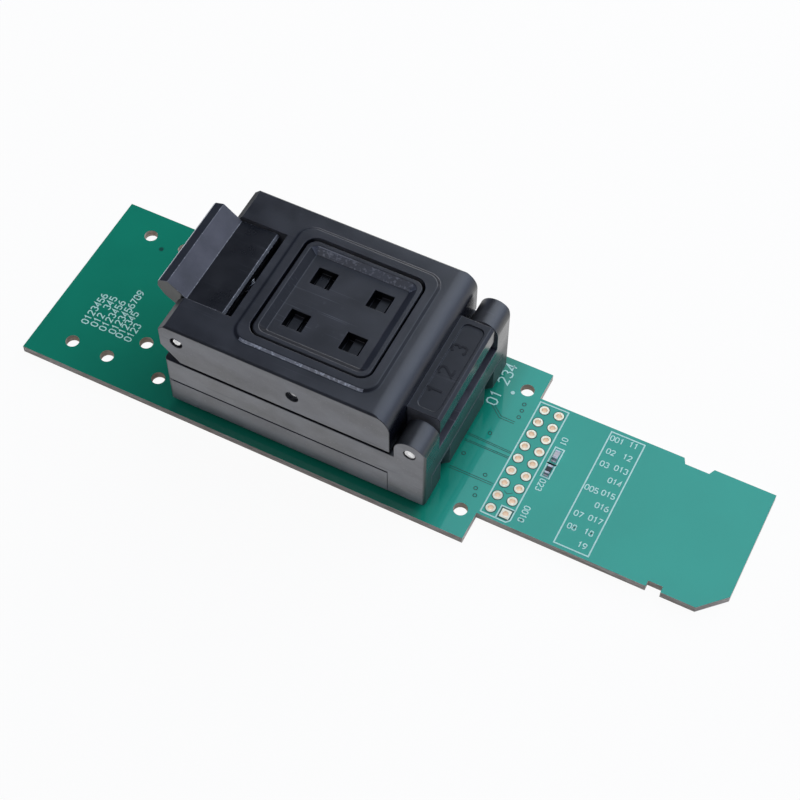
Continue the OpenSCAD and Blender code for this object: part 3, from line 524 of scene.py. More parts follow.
def parting_edge(point):
    """The lower block's long upper edges are broken and painted near black, painted shade that draws the
    parting line as a dark groove.
    """
    return point.z > block_top - BLOCK_NEAR and abs(point.y) > block_side - BLOCK_NEAR


def pusher_edge(point):
    """The pusher's outer edge is broken and painted near black, painted shade that widens the dark line round
    it.
    """
    return point.z > pusher_top - PUSHER_NEAR and max(abs(point.x - socket_x), abs(point.y)) > PUSHER_REACH


print("rims lie at z in mm:", LIP_Z, round(block_top, 2), round(pusher_top, 2))

# %% [markdown]
# ## Moulded pieces
# Six mouldings make the socket: lid, base, lower block, latch, pusher and chip guide. Each call names
# the CAD node, the new piece and the body that it moves with. The finishes follow: the first is for the
# faces, the second for the edges, and the others wait for a zone or a rim to choose them.

# %% Moulded pieces
moulded = [
    moulded_copy(
        "lid_cover", "lid_shell", "lid",
        (lid_plastic, worn_edge, knuckle_skin, rubbed_slope_painted_highlight, dull_slope, matt_slope),
        width=0.1 * MM, zone=lid_zone,
    ),
    moulded_copy(
        "base_housing", "base_shell", "base",
        (base_plastic, rubbed_edge, painted_light_skin),
        width=0.08 * MM, zone=base_zone,
    ),
    moulded_copy(
        "probe_block", "lower_block", "base",
        (block_plastic, painted_reflection_edge, painted_shade_black),
        width=0.05 * MM, rim=(parting_edge, 0.15 * MM, painted_shade_black),
    ),
    moulded_copy(
        "latch", "latch_lever", "latch",
        (latch_plastic, scuffed_slope_painted_sheen, painted_glint_edge, painted_light_skin),
        width=0.08 * MM, zone=latch_zone, rim=(tab_lip, 0.3 * MM, painted_glint_edge),
    ),
    moulded_copy(
        "pusher", "pusher_block", "pusher",
        (pusher_plastic, worn_edge, dull_slope, painted_shade_black, latch_plastic, scuffed_slope_painted_sheen, matt_slope),
        width=0.08 * MM, zone=pusher_zone, rim=(pusher_edge, 0.18 * MM, painted_shade_black),
    ),
    moulded_copy(
        "chip_guide", "guide_frame", "guide",
        (guide_plastic, rubbed_edge),
        width=0.1 * MM,
    ),
]
print("moulded pieces:", [piece.name for piece in moulded])

# %% [markdown]
# ## Metals
# Ground pins, spring wire and plated screws are steel; the pads, contacts and probes are gold over
# copper. A metal needs little colour of its own: it shows what is round it, broken up by fine scratches
# in its roughness. A shader with a grinding direction could be used, but at this size noise in the
# roughness looks the same.

# %% Metals
BLOTCH_SCALE = 1200.0
POLISH_SWING = 0.1
WIRE_GRAIN = 4000.0
GROUND_GRAIN = 2500.0


def worked_metal(name, colour, tint, roughness, grain=WIRE_GRAIN):
    """A metal of two close tones, with a fine grain in its roughness and its bump."""
    material, tree, shader, place = start_material(name, roughness, metallic=1.0)
    tone = ramp(tree, noise(tree, place, BLOTCH_SCALE, 4.0), (0.35, tint), (0.62, colour))
    fine = noise(tree, place, grain)
    scratched = levels(tree, fine, 0.3, 0.7, roughness - POLISH_SWING, roughness + POLISH_SWING)
    fill(tree, shader, Base_Color=tone, Roughness=scratched)
    bump(tree, shader, fine, 0.3)
    return material


pin_steel = worked_metal("pin_steel", (0.88, 0.88, 0.88), (0.5, 0.5, 0.51), 0.28, GROUND_GRAIN)
sawn_steel = worked_metal("sawn_steel", (1.0, 1.0, 1.0), (0.7, 0.7, 0.71), 0.6, GROUND_GRAIN)
wire_steel = worked_metal("wire_steel", (0.8, 0.8, 0.8), (0.6, 0.6, 0.6), 0.25)
screw_steel = worked_metal("screw_steel", (0.66, 0.66, 0.67), (0.45, 0.45, 0.46), 0.32)
pad_gold = worked_metal("pad_gold", (1.0, 0.93, 0.76), (0.95, 0.82, 0.6), 0.45)
tin_cap = worked_metal("tin_cap", (0.6, 0.62, 0.66), (0.42, 0.44, 0.47), 0.42)
blasted_aluminium = worked_metal("blasted_aluminium", (0.74, 0.75, 0.77), (0.67, 0.68, 0.7), 0.48)
print("metals:", pin_steel.name, wire_steel.name, screw_steel.name, pad_gold.name, tin_cap.name)

# %% [markdown]
# ## Plated pieces and the pressure pad
# The header holes are plated through. Their flat pads are pale gold, and the drilled walls are a
# browner copper. Two materials would need two groups of faces, so one material looks at which way a
# face points. The CAD shape of these small pieces is right as it is and only takes a finish. The pad
# that presses the chip is blasted aluminium, softened like the mouldings.

# %% Plated pieces and the pressure pad
PLATING_SCALE = 1500.0


def finish_node(node, material):
    """Gives a carried-over CAD node a material."""
    mesh = nodes[node].data
    mesh.materials.clear()
    mesh.materials.append(material)


def plated_eyelet():
    """Pale gold on the flat pads, and the browner copper of the drilled wall on upright faces."""
    material, tree, shader, place = start_material("plated_eyelet", 0.45, metallic=1.0)
    flat = levels(tree, math_node(tree, "ABSOLUTE", facing(tree)[2]), 0.4, 0.6)
    blotch = noise(tree, place, PLATING_SCALE, 4.0)
    pad = ramp(tree, blotch, (0.35, (0.86, 0.81, 0.6)), (0.62, (0.98, 0.97, 0.8)))
    wall = ramp(tree, blotch, (0.35, (0.84, 0.62, 0.47)), (0.65, (1.0, 0.86, 0.7)))
    haze = levels(tree, blotch, 0.3, 0.7, 0.35, 0.55)
    fill(tree, shader, Base_Color=mix(tree, flat, wall, pad), Roughness=haze)
    bump(tree, shader, noise(tree, place, WIRE_GRAIN), 0.3)
    return material


finish_node("header_eyelets", plated_eyelet())
for node in ("card_contacts", "contact_probes"):
    finish_node(node, pad_gold)
finish_node("chip_end_caps", tin_cap)
moulded_copy(
    "pressure_pad", "pressure_block", "pusher",
    (blasted_aluminium, blasted_aluminium),
    width=0.12 * MM,
)
print("plated or tinned: header_eyelets, card_contacts, contact_probes, chip_end_caps")

# %% [markdown]
# ## Making a piece from a mesh
# Every new piece goes the same way: a mesh is filled, becomes an object with one material, rides on the
# body it is fixed to, and hides the CAD node it stands for. Pins, springs, strips and fillets are all
# rings of points with bands of faces between them, so one helper makes such a band.

# %% Making a piece from a mesh
SMOOTH_ANGLE = 35.0


def join_rings(shape, near, far):
    """A band of faces between two rings of points, where a ring of one point makes a cone."""
    steps = max(len(near), len(far))
    for i in range(steps):
        j = (i + 1) % steps
        corners = [near[i % len(near)], near[j % len(near)], far[j % len(far)], far[i % len(far)]]
        shape.faces.new(list(dict.fromkeys(corners)))


def make_piece(name, shape, material, body, stands_for=(), smooth_angle=SMOOTH_ANGLE):
    """Turns a finished bmesh into a piece of the model."""
    bmesh.ops.recalc_face_normals(shape, faces=shape.faces)
    for face in shape.faces:
        face.smooth = True
    mesh = bpy.data.meshes.new(name)
    shape.to_mesh(mesh)
    shape.free()
    mesh.set_sharp_from_angle(angle=math.radians(smooth_angle))
    mesh.materials.append(material)
    piece = bpy.data.objects.new(name, mesh)
    scene.collection.objects.link(piece)
    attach(piece, body)
    if stands_for:
        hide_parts(*stands_for)
    return piece


print("new pieces are smooth up to", SMOOTH_ANGLE, "degrees")

# %% [markdown]
# ## Turned pins
# The hinge, the latch and the pusher turn on ground pins, cut to length with a small chamfer at each
# end. A turned shape is a profile spun round an axis, so a pin is a short list of radii and positions.
# A cylinder would do for the side, but not for the domed tip that catches the light. Place and length
# come from the CAD node's box.

# %% Turned pins
TURN_STEPS = 40
PIN_CHAMFER = 0.13 * MM
DOWEL_CHAMFER = 0.15 * MM
DOME_SHARE = 0.45
DOME_DROP = 0.03 * MM
TIP_DROP = 0.07 * MM


def turn_angles(steps):
    """Equal angles round a full turn."""
    return [2 * math.pi * i / steps for i in range(steps)]


def spin_profile(shape, profile, place, steps=TURN_STEPS, closed=False):
    """Spins (radius, height) pairs round z and places the result with a matrix."""
    rings = []
    for radius, height in profile:
        points = [(radius * math.cos(a), radius * math.sin(a), height) for a in turn_angles(steps)]
        if radius == 0.0:
            points = [(0.0, 0.0, height)]
        rings.append([shape.verts.new(place @ Vector(point)) for point in points])
    for low_ring, high_ring in zip(rings, rings[1:] + (rings[:1] if closed else [])):
        join_rings(shape, low_ring, high_ring)


def pin_profile(radius, length, chamfer):
    """Half a pin is mirrored to the whole: domed tip, chamfer, straight side."""
    half = length / 2
    tip = [
        (0.0, half),
        (DOME_SHARE * radius, half - DOME_DROP),
        (radius - chamfer, half - TIP_DROP),
        (radius, half - TIP_DROP - chamfer),
    ]
    return tip + [(r, -h) for r, h in reversed(tip)]


def turned_pin(node, name, body, steel):
    """A pin that lies across the socket, in the place of a CAD node."""
    low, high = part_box(node)
    size, middle = high - low, (low + high) / 2
    shape = bmesh.new()
    place = Matrix.Translation(middle) @ Matrix.Rotation(math.pi / 2, 4, "X")
    spin_profile(shape, pin_profile(size.x / 2, size.y, PIN_CHAMFER), place)
    return make_piece(name, shape, steel, body, (node,))


turned_pin("hinge_pin", "hinge_rod", "base", pin_steel)
turned_pin("latch_pin", "latch_rod", "lid", pin_steel)
turned_pin("pusher_shaft", "rocker_rod", "lid", sawn_steel)

low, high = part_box("locating_dowels")
dowel_radius = (high.x - low.x) / 2
shape = bmesh.new()
for y in (low.y + dowel_radius, high.y - dowel_radius):
    place = Matrix.Translation(((low.x + high.x) / 2, y, (low.z + high.z) / 2))
    spin_profile(shape, pin_profile(dowel_radius, high.z - low.z, DOWEL_CHAMFER), place)
make_piece("dowel_pair", shape, pin_steel, "base", ("locating_dowels",))
print("turned pins: hinge_rod, latch_rod, rocker_rod, dowel_pair")

# %% [markdown]
# ## Countersunk screws
# Four countersunk screws hold the base from below, their heads flush with the board's underside. Each
# head has a cross recess. Cutting it out with a boolean can leave ragged faces, so the ring between the
# round rim and the cross is filled with triangles, and walls and a floor are added inside the cross.
# The cone and the shank are spun as before, with a ridge for each turn of the thread.

# %% Countersunk screws
HEAD_RADIUS = 1.85 * MM
SHANK_RADIUS = 0.95 * MM
HEAD_EDGE = 0.06 * MM
RECESS_ARM = 1.05 * MM
RECESS_HALF = 0.22 * MM
RECESS_DEPTH = 0.55 * MM
RECESS_TAPER = 0.82
THREAD_PITCH = 0.4 * MM
THREAD_DEPTH = 0.14 * MM
TIP_STEP = 0.1 * MM
TIP_NARROWING = 0.3 * MM


def recessed_face(shape, x, y, rim_radius):
    """The underside of a screw head at z = 0, with its cross recess."""
    rim_points = [(rim_radius * math.cos(a), rim_radius * math.sin(a)) for a in turn_angles(TURN_STEPS)]
    rim = [shape.verts.new((x + u, y + v, 0.0)) for u, v in rim_points]
    arm, half = RECESS_ARM, RECESS_HALF
    cross = [
        (arm, -half), (arm, half), (half, half), (half, arm), (-half, arm), (-half, half),
        (-arm, half), (-arm, -half), (-half, -half), (-half, -arm), (half, -arm), (half, -half),
    ]
    mouth = [shape.verts.new((x + u, y + v, 0.0)) for u, v in cross]
    floor = [shape.verts.new((x + RECESS_TAPER * u, y + RECESS_TAPER * v, RECESS_DEPTH)) for u, v in cross]
    edges = []
    for ring in (rim, mouth):
        edges += [shape.edges.new(pair) for pair in zip(ring, ring[1:] + ring[:1])]
    bmesh.ops.triangle_fill(shape, use_beauty=True, edges=edges)
    join_rings(shape, mouth, floor)
    shape.faces.new(floor)


def cross_screw(shape, x, y, top):
    """A screw with its head down at z = 0."""
    rim_radius = HEAD_RADIUS - HEAD_EDGE
    recessed_face(shape, x, y, rim_radius)
    cone = HEAD_RADIUS - SHANK_RADIUS
    profile = [(rim_radius, 0.0), (HEAD_RADIUS, HEAD_EDGE), (SHANK_RADIUS, cone + HEAD_EDGE)]
    for i in range(int((top - cone - THREAD_PITCH) / THREAD_PITCH)):
        start = cone + THREAD_PITCH / 2 + i * THREAD_PITCH
        profile += [(SHANK_RADIUS, start), (SHANK_RADIUS - THREAD_DEPTH, start + THREAD_PITCH / 2)]
    profile += [(SHANK_RADIUS - TIP_STEP, top - TIP_STEP), (SHANK_RADIUS - TIP_NARROWING, top), (0.0, top)]
    spin_profile(shape, profile, Matrix.Translation((x, y, 0.0)))


low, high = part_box("base_screws")
shape = bmesh.new()
for x in (low.x + HEAD_RADIUS, high.x - HEAD_RADIUS):
    for y in (low.y + HEAD_RADIUS, high.y - HEAD_RADIUS):
        cross_screw(shape, x, y, high.z)
bmesh.ops.remove_doubles(shape, verts=shape.verts, dist=WELD)
make_piece("cross_head_screws", shape, screw_steel, "base", ("base_screws",))
print("four cross head screws, length in mm:", round(high.z / MM, 2))

# %% [markdown]
# ## Coil springs
# One spring lifts the latch's plate and four lift the chip guide. The CAD coils are coarse, so these
# are wound afresh: a round wire swept along a helix whose last turn at each end lies flat, as a ground
# spring's does.

# %% Coil springs
WIRE_SIDES = 10
COIL_STEPS = 30
FLAT_TURNS = 0.8
FLAT_RISE = 0.12
WIRE_SMOOTH_ANGLE = 80.0


def wind_coil(shape, x, y, z0, z1, radius, wire, turns):
    """Sweeps a wire along a helix with closed ends."""
    steps = int(turns * COIL_STEPS)
    flat = FLAT_TURNS / turns
    rings = []
    for i in range(steps + 1):
        share = i / steps
        climb = min(max((share - flat) / (1 - 2 * flat), 0.0), 1.0)
        z = z0 + wire / 2 + (z1 - z0 - wire) * (FLAT_RISE * share + (1 - FLAT_RISE) * climb)
        angle = 2 * math.pi * turns * share
        out = Vector((math.cos(angle), math.sin(angle), 0.0))
        centre = Vector((x, y, z)) + out * radius
        ring = []
        for around in turn_angles(WIRE_SIDES):
            lift = Vector((0.0, 0.0, wire / 2 * math.sin(around)))
            ring.append(shape.verts.new(centre + out * (wire / 2 * math.cos(around)) + lift))
        rings.append(ring)
    for low_ring, high_ring in zip(rings, rings[1:]):
        join_rings(shape, low_ring, high_ring)
    shape.faces.new(rings[0])
    shape.faces.new(rings[-1])


def wound_springs(node, name, body, outer, wire, turns):
    """Springs in the places of a CAD node's coils, which stand in the corners of its box."""
    low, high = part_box(node)
    columns = {round(low.x + outer / 2, 5), round(high.x - outer / 2, 5)}
    rows = {round(low.y + outer / 2, 5), round(high.y - outer / 2, 5)}
    shape = bmesh.new()
    for x in sorted(columns):
        for y in sorted(rows):
            wind_coil(shape, x, y, low.z, high.z, (outer - wire) / 2, wire, turns)
    piece = make_piece(name, shape, wire_steel, body, (node,), WIRE_SMOOTH_ANGLE)
    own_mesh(piece)
    return piece


wound_springs(
    "latch_spring", "latch_coil", "lid",
    outer=2.7 * MM, wire=0.3 * MM, turns=6.5,
)
wound_springs(
    "guide_springs", "guide_coils", "base",
    outer=1.9 * MM, wire=0.25 * MM, turns=5.5,
)
print("springs: latch_coil, guide_coils")

# %% [markdown]
# ## Board
# The board is glass-fibre laminate under green solder resist. The resist is thin and glossy. It looks
# deeper on the wide part, where a copper plane lies below it, and paler on the tongue, where there is
# none. The step is partly painted light: the wide part is painted darker for the shade it lies in, and
# the tongue paler for the stronger light and the sheen on it. The cut edges show the bare laminate,
# which is why the material looks at which way a face points: up or down is resist, sideways is
# laminate. On the underside the traces from the card contacts show through as paler stripes.

# %% Board
# The two resist tones hold painted light as well as the copper plane: darker as painted shade, paler as
# painted light.
DEEP_RESIST_AND_SHADE = (0.0088, 0.29, 0.172)
PALE_RESIST_AND_LIGHT = (0.025, 0.475, 0.338)
STRIPE_RESIST = (0.06, 0.42, 0.25)
DARK_FIBRE = (0.46, 0.37, 0.28)
PALE_FIBRE = (0.8, 0.7, 0.57)
FIBRE_STRETCH = (300.0, 300.0, 5000.0)
RESIST_ROUGHNESS = 0.045
CUT_ROUGHNESS = 0.75
PLANE_END = (11.5 * MM, 16.5 * MM)
STRIPES_FROM = (25.5 * MM, 25.6 * MM)
STRIPE_EDGE = (0.22 * MM, 0.2 * MM)
CONTACT_PITCH = 2.5 * MM


def board_finish():
    """Resist on the faces that point up or down, and bare laminate on the cut edges."""
    material, tree, shader, place = start_material("board_resist", RESIST_ROUGHNESS)
    x, y, _ = split(tree, place)
    upward = facing(tree)[2]
    mottle = noise(tree, place, 60.0, 4.0)
    wide = ramp(tree, mottle, (0.3, scaled(DEEP_RESIST_AND_SHADE, 0.93)), (0.7, scaled(DEEP_RESIST_AND_SHADE, 1.07)))
    narrow = ramp(tree, mottle, (0.3, scaled(PALE_RESIST_AND_LIGHT, 0.96)), (0.7, scaled(PALE_RESIST_AND_LIGHT, 1.04)))
    resist = mix(tree, levels(tree, x, *PLANE_END), wide, narrow)
    shifted = math_node(tree, "ADD", y, 40 * CONTACT_PITCH)
    stripe = levels(tree, math_node(tree, "PINGPONG", shifted, CONTACT_PITCH / 2), *STRIPE_EDGE)
    on_trace = math_node(tree, "MULTIPLY", stripe, levels(tree, x, *STRIPES_FROM))
    below = levels(tree, upward, -0.4, -0.6)
    traced = mix(tree, math_node(tree, "MULTIPLY", on_trace, below), resist, STRIPE_RESIST)
    layers = noise(tree, place, 1.0, 3.0, FIBRE_STRETCH)
    laminate = ramp(tree, layers, (0.35, DARK_FIBRE), (0.65, PALE_FIBRE))
    flat = levels(tree, math_node(tree, "ABSOLUTE", upward), 0.4, 0.6)
    gloss = levels(tree, flat, 0.0, 1.0, CUT_ROUGHNESS, RESIST_ROUGHNESS)
    fill(tree, shader, Base_Color=mix(tree, flat, laminate, traced), Roughness=gloss)
    bump(tree, shader, noise(tree, place, 1500.0, 2.0), 0.06)
    return material


finish_node("board", board_finish())

# %% [markdown]
# ## Ink and sunk resist
# White ink and the darker resist in the dips are coats, almost even, with a fine grain; the darker
# resist is painted shade in the dips. One two-tone finish serves for both, and later for the lens, the
# glaze and the probe carrier. A flat colour would look like a sticker.

# %% Ink and sunk resist
SPECKLE_SCALE = 2500.0
CARRIER_SCALE = 900.0


def speckled(name, colour, other, roughness, scale=SPECKLE_SCALE):
    """A two-tone finish with a fine grain for the small pieces and the ink."""
    material, tree, shader, place = start_material(name, roughness)
    fill(tree, shader, Base_Color=ramp(tree, noise(tree, place, scale), (0.35, other), (0.65, colour)))
    bump(tree, shader, noise(tree, place, 2 * scale, 2.0), 0.15)
    return material


white_ink = speckled("white_ink", (0.68, 1.0, 0.87), (0.62, 0.98, 0.84), 0.4)
# Dark green: painted shade in the dips beside copper.
sunk_resist_painted_shade = speckled("sunk_resist_painted_shade", (0.004, 0.1, 0.068), (0.0035, 0.085, 0.058), 0.3)
natural_plastic = speckled("natural_plastic", (0.5, 0.4, 0.27), (0.42, 0.33, 0.21), 0.5, CARRIER_SCALE)
finish_node("probe_carrier", natural_plastic)
print("speckled finishes:", white_ink.name, sunk_resist_painted_shade.name, natural_plastic.name)

# %% [markdown]
# ## Strips and rings
# Traces and printed lines are far thinner than the board. An image could draw them, but it would blur
# close up. So each is a strip or a ring with a root just below the board's face and a top just above
# it. A strip that turns a corner is mitred there, like the corner of a picture frame.

# %% Strips and rings
BOARD_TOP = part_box("board")[1].z
PRINT_ROOT = BOARD_TOP - 0.01 * MM
RING_STEPS = 28


def flat_path(shape, points, width, top, closed=False, root=PRINT_ROOT):
    """A thin strip along points given in millimetres, mitred at its corners."""
    spots = [Vector(point) * MM for point in points]
    steps = [(b - a).normalized() for a, b in zip(spots, spots[1:] + spots[:1])]
    rings = []
    for i, spot in enumerate(spots):
        coming = steps[i - 1] if closed or i > 0 else steps[i]
        going = steps[i] if closed or i < len(spots) - 1 else coming
        mitre = (coming + going).orthogonal().normalized()
        reach = mitre * (width * MM / 2 / mitre.dot(coming.orthogonal()))
        left, right = spot + reach, spot - reach
        corners = ((left, root), (left, top), (right, top), (right, root))
        rings.append([shape.verts.new((*corner, z)) for corner, z in corners])
    for near, far in zip(rings, rings[1:] + (rings[:1] if closed else [])):
        join_rings(shape, near, far)
    if not closed:
        shape.faces.new(rings[0])
        shape.faces.new(rings[-1])


def flat_ring(shape, x, y, inner, outer, top):
    """A thin ring, given in millimetres."""
    profile = [(outer * MM, PRINT_ROOT), (outer * MM, top), (inner * MM, top), (inner * MM, PRINT_ROOT)]
    spin_profile(shape, profile, Matrix.Translation((x * MM, y * MM, 0.0)), RING_STEPS, closed=True)


def box_path(x0, y0, x1, y1):
    """The four corners of a box, in order."""
    return [(x0, y0), (x1, y0), (x1, y1), (x0, y1)]


print("board top at mm:", round(BOARD_TOP / MM, 3))

# %% [markdown]
# ## Copper under the resist, drawn as painted shade
# Traces, small plated holes and the clearance round each header pad show as thin dark lines of painted
# shade, where the resist dips beside copper. Each is laid as a strip or a ring a few thousandths of a
# millimetre proud of the board: enough to be seen, too little to be felt. The first pad of the header
# is square, and so is its clearance.

# %% Copper under the resist, drawn as painted shade
TRACE_TOP = BOARD_TOP + 0.006 * MM
TRACE_WIDTH = 0.11
HEADER_PITCH = 2.54
PAD_COLUMNS = (21.545, 24.085)
PADS = [(x, HEADER_PITCH * i) for x in PAD_COLUMNS for i in range(-4, 5)]
PAD_RING = (0.78, 0.95)
SQUARE_PAD = (PAD_COLUMNS[1], HEADER_PITCH * -4)
SQUARE_REACH = 0.93
SQUARE_LINE = 0.22
VIA_RING = (0.22, 0.36)
VIAS = [
    (18.37, 7.1), (18.31, 8.46), (18.15, 9.74), (15.56, 2.27),
    (13.45, -3.03), (18.23, -5.15), (17.94, -8.02), (18.39, -9.26),
]
DARK_DOT = (-50.64, 10.76)
DARK_DOT_RING = (0.02, 0.42)
TRACES = [
    [(12.4, 0.78), (20.2, 0.53)],
    [(12.4, 0.5), (20.2, 0.25)],
    [(12.4, -0.45), (20.2, -0.45)],
    [(12.4, -0.72), (20.2, -0.72)],
    [(12.4, -6.05), (20.0, -6.05)],
    [(12.4, -6.4), (20.0, -6.4)],
    [(13.6, 7.75), (15.8, 6.0), (18.2, 6.0)],
    [(13.4, 7.4), (15.6, 5.62), (18.2, 5.62)],
    [(22.1, -6.4), (22.8, -6.75), (23.5, -6.2)],
]

shape = bmesh.new()
for pad in PADS:
    if pad != SQUARE_PAD:
        flat_ring(shape, *pad, *PAD_RING, TRACE_TOP)
x, y = SQUARE_PAD
square = box_path(x - SQUARE_REACH, y - SQUARE_REACH, x + SQUARE_REACH, y + SQUARE_REACH)
flat_path(shape, square, SQUARE_LINE, TRACE_TOP, closed=True)
for via in VIAS:
    flat_ring(shape, *via, *VIA_RING, TRACE_TOP)
for trace in TRACES:
    flat_path(shape, trace, TRACE_WIDTH, TRACE_TOP)
flat_ring(shape, *DARK_DOT, *DARK_DOT_RING, TRACE_TOP)
make_piece("traces_painted_shade", shape, sunk_resist_painted_shade, "base")
print("pads ringed:", len(PADS), "vias:", len(VIAS), "traces:", len(TRACES))

# %% [markdown]
# ## Printed frames
# White ink frames the header, the LED, the resistor and the signal labels, and adds one dot. The frames
# are strips on the board, like the traces. They stand a little higher than the traces, because two
# faces at one height would flicker where they cross.

# %% Printed frames
INK_TOP = BOARD_TOP + 0.015 * MM
FRAME_LINE = 0.24
HEADER_FRAME = [(20.3, 11.42), (25.24, 11.48), (25.24, -10.9), (24.7, -11.5), (20.37, -11.42)]
FIRST_PIN_LINE = [(22.95, -11.42), (22.95, -9.0), (25.2, -9.0)]
LABEL_FRAME = box_path(32.8, 11.3, 38.55, -11.3)
LED_FRAME = box_path(26.0, 4.6, 27.5, 1.4)
RESISTOR_FRAME = box_path(26.05, 1.4, 27.45, -1.3)
INK_DOT = (15.53, 10.99)
INK_DOT_RING = (0.02, 0.34)

shape = bmesh.new()
flat_path(shape, HEADER_FRAME, FRAME_LINE, INK_TOP, closed=True)
flat_path(shape, FIRST_PIN_LINE, FRAME_LINE, INK_TOP)
for printed_frame in (LABEL_FRAME, LED_FRAME, RESISTOR_FRAME):
    flat_path(shape, printed_frame, FRAME_LINE, INK_TOP, closed=True)
flat_ring(shape, *INK_DOT, *INK_DOT_RING, INK_TOP)
make_piece("printed_frames", shape, white_ink, "base")
print("printed frames: header, first pin, labels, LED, resistor")

# %% [markdown]
# ## Digits as pen strokes
# The labels are plain numbers. A text object would bring a font's outlines, which don't always close
# when they are thickened. So each digit is drawn as a plotter draws it: a path or two in a box 0.6 wide
# and 1 high, scaled to the height that it is printed at. Loops are closed strokes and the rest are open
# ones.

# %% Digits as pen strokes
LOW_LOOP = [
    (0.15, 0.0), (0.45, 0.0), (0.6, 0.15), (0.6, 0.4), (0.45, 0.55), (0.15, 0.55), (0.0, 0.4), (0.0, 0.15),
]
HIGH_LOOP = [
    (0.17, 0.55), (0.43, 0.55), (0.55, 0.67), (0.55, 0.88),
    (0.43, 1.0), (0.17, 1.0), (0.05, 0.88), (0.05, 0.67),
]
ROUND_LOOP = [
    (0.17, 0.0), (0.43, 0.0), (0.6, 0.2), (0.6, 0.8), (0.43, 1.0), (0.17, 1.0), (0.0, 0.8), (0.0, 0.2),
]
OPEN_BOWL = [(0.45, 0.54), (0.6, 0.4), (0.6, 0.15), (0.45, 0.0), (0.15, 0.0), (0.0, 0.15)]
DIGIT_PITCH = 0.86
DIGIT_WIDTH = 0.6
CLOSED_STROKES = {
    "0": [ROUND_LOOP],
    "6": [LOW_LOOP],
    "8": [LOW_LOOP, HIGH_LOOP],
    "9": [[(DIGIT_WIDTH - u, 1.0 - v) for u, v in LOW_LOOP]],
}
OPEN_STROKES = {
    "1": [(0.1, 0.8), (0.32, 1.0), (0.32, 0.0)],
    "2": [(0.0, 0.82), (0.15, 1.0), (0.45, 1.0), (0.6, 0.84), (0.6, 0.66), (0.04, 0.0), (0.6, 0.0)],
    "3": [(0.0, 0.87), (0.15, 1.0), (0.45, 1.0), (0.58, 0.86), (0.58, 0.68)] + OPEN_BOWL,
    "4": [(0.44, 0.0), (0.44, 1.0), (0.0, 0.3), (0.6, 0.3)],
    "5": [(0.56, 1.0), (0.06, 1.0), (0.02, 0.52), (0.2, 0.58)] + OPEN_BOWL,
    "6": [(0.5, 1.0), (0.26, 0.92), (0.06, 0.68), (0.0, 0.4)],
    "7": [(0.0, 1.0), (0.6, 1.0), (0.2, 0.0)],
    "9": [(0.1, 0.0), (0.34, 0.08), (0.54, 0.32), (0.6, 0.6)],
}


def print_number(shape, text, x, y, cap, turn, line, centred=False, root=PRINT_ROOT, top=INK_TOP):
    """Adds a number whose baseline starts at x, y in millimetres, or is centred there, turned in degrees."""
    turned = Matrix.Rotation(math.radians(turn), 2)
    start = -(DIGIT_PITCH * (len(text) - 1) + DIGIT_WIDTH) / 2 if centred else 0.0
    for i, digit in enumerate(text):
        shift = start + DIGIT_PITCH * i
        strokes = [(points, True) for points in CLOSED_STROKES.get(digit, [])]
        if digit in OPEN_STROKES:
            strokes.append((OPEN_STROKES[digit], False))
        for points, closed in strokes:
            placed = [Vector((x, y)) + turned @ Vector((cap * (shift + u), cap * v)) for u, v in points]
            flat_path(shape, placed, line, top, closed, root)


print("digits with strokes:", len(set(CLOSED_STROKES) | set(OPEN_STROKES)))

# %% [markdown]
# ## Printed numbers
# A block of lines stands at the left end of the board, two bigger numbers beside the socket, small ones
# beside the header, and two columns of labels in their frame on the tongue. Each is a short list of
# texts and places, so a label is moved by changing two numbers.

# %% Printed numbers
BLOCK_LINES = [
    ("0123456", -53.45, -8.5), ("012 345", -51.75, -8.3), ("0123456", -50.05, -8.4),
    ("0123456789", -48.3, -8.2), ("012345", -46.85, -8.4), ("0123", -45.2, -8.4),
]
BIG_NUMBERS = [("01", 14.1, 7.5), ("234", 14.1, 11.9)]
RIGHT_LABELS = ["11", "12", "013", "014", "015", "016", "017", "18", "19"]
LEFT_LABELS = {0: "001", 1: "02", 2: "03", 4: "005", 6: "07", 7: "08"}
LOOSE_LABELS = [("01", 26.3, 6.8), ("023", 26.3, -1.8), ("0018", 26.2, -7.4)]
RIGHT_START = (36.95, 9.95)
LEFT_START = (34.2, 9.75)
BLOCK_CAP, BLOCK_LINE = 1.15, 0.2
BIG_CAP, BIG_LINE = 1.75, 0.24
LABEL_CAP, LABEL_LINE = 0.92, 0.18

shape = bmesh.new()
for text, x, y in BLOCK_LINES:
    print_number(shape, text, x, y, BLOCK_CAP, 90, BLOCK_LINE)
for text, x, y in BIG_NUMBERS:
    print_number(shape, text, x, y, BIG_CAP, 90, BIG_LINE)
for (x, y), labels in ((RIGHT_START, enumerate(RIGHT_LABELS)), (LEFT_START, LEFT_LABELS.items())):
    for i, text in labels:
        print_number(shape, text, x, y - HEADER_PITCH * i, LABEL_CAP, 0, LABEL_LINE, centred=True)
for text, x, y in LOOSE_LABELS:
    print_number(shape, text, x, y, LABEL_CAP, -90, LABEL_LINE)
make_piece("printed_numbers", shape, white_ink, "base")
printed = (BLOCK_LINES, BIG_NUMBERS, RIGHT_LABELS, LEFT_LABELS, LOOSE_LABELS)
print("printed lines of numbers:", sum(len(group) for group in printed))

# %% [markdown]
# ## Moulded numbers
# The shallow panel on the lid's knuckle has a few raised characters, cut into the mould. Plain numbers
# stand in for them here, drawn with the same strokes as the print and raised by less than a tenth of a
# millimetre, so that only their edges show.

# %% Moulded numbers
PANEL_X = 10.1
PANEL_FLOOR = 18.45 * MM
RAISED = 0.07 * MM
MOULDED_CAP, MOULDED_LINE = 2.3, 0.36
MOULDED_NUMBERS = [("1", -5.4), ("2", -1.6), ("3", 3.0)]

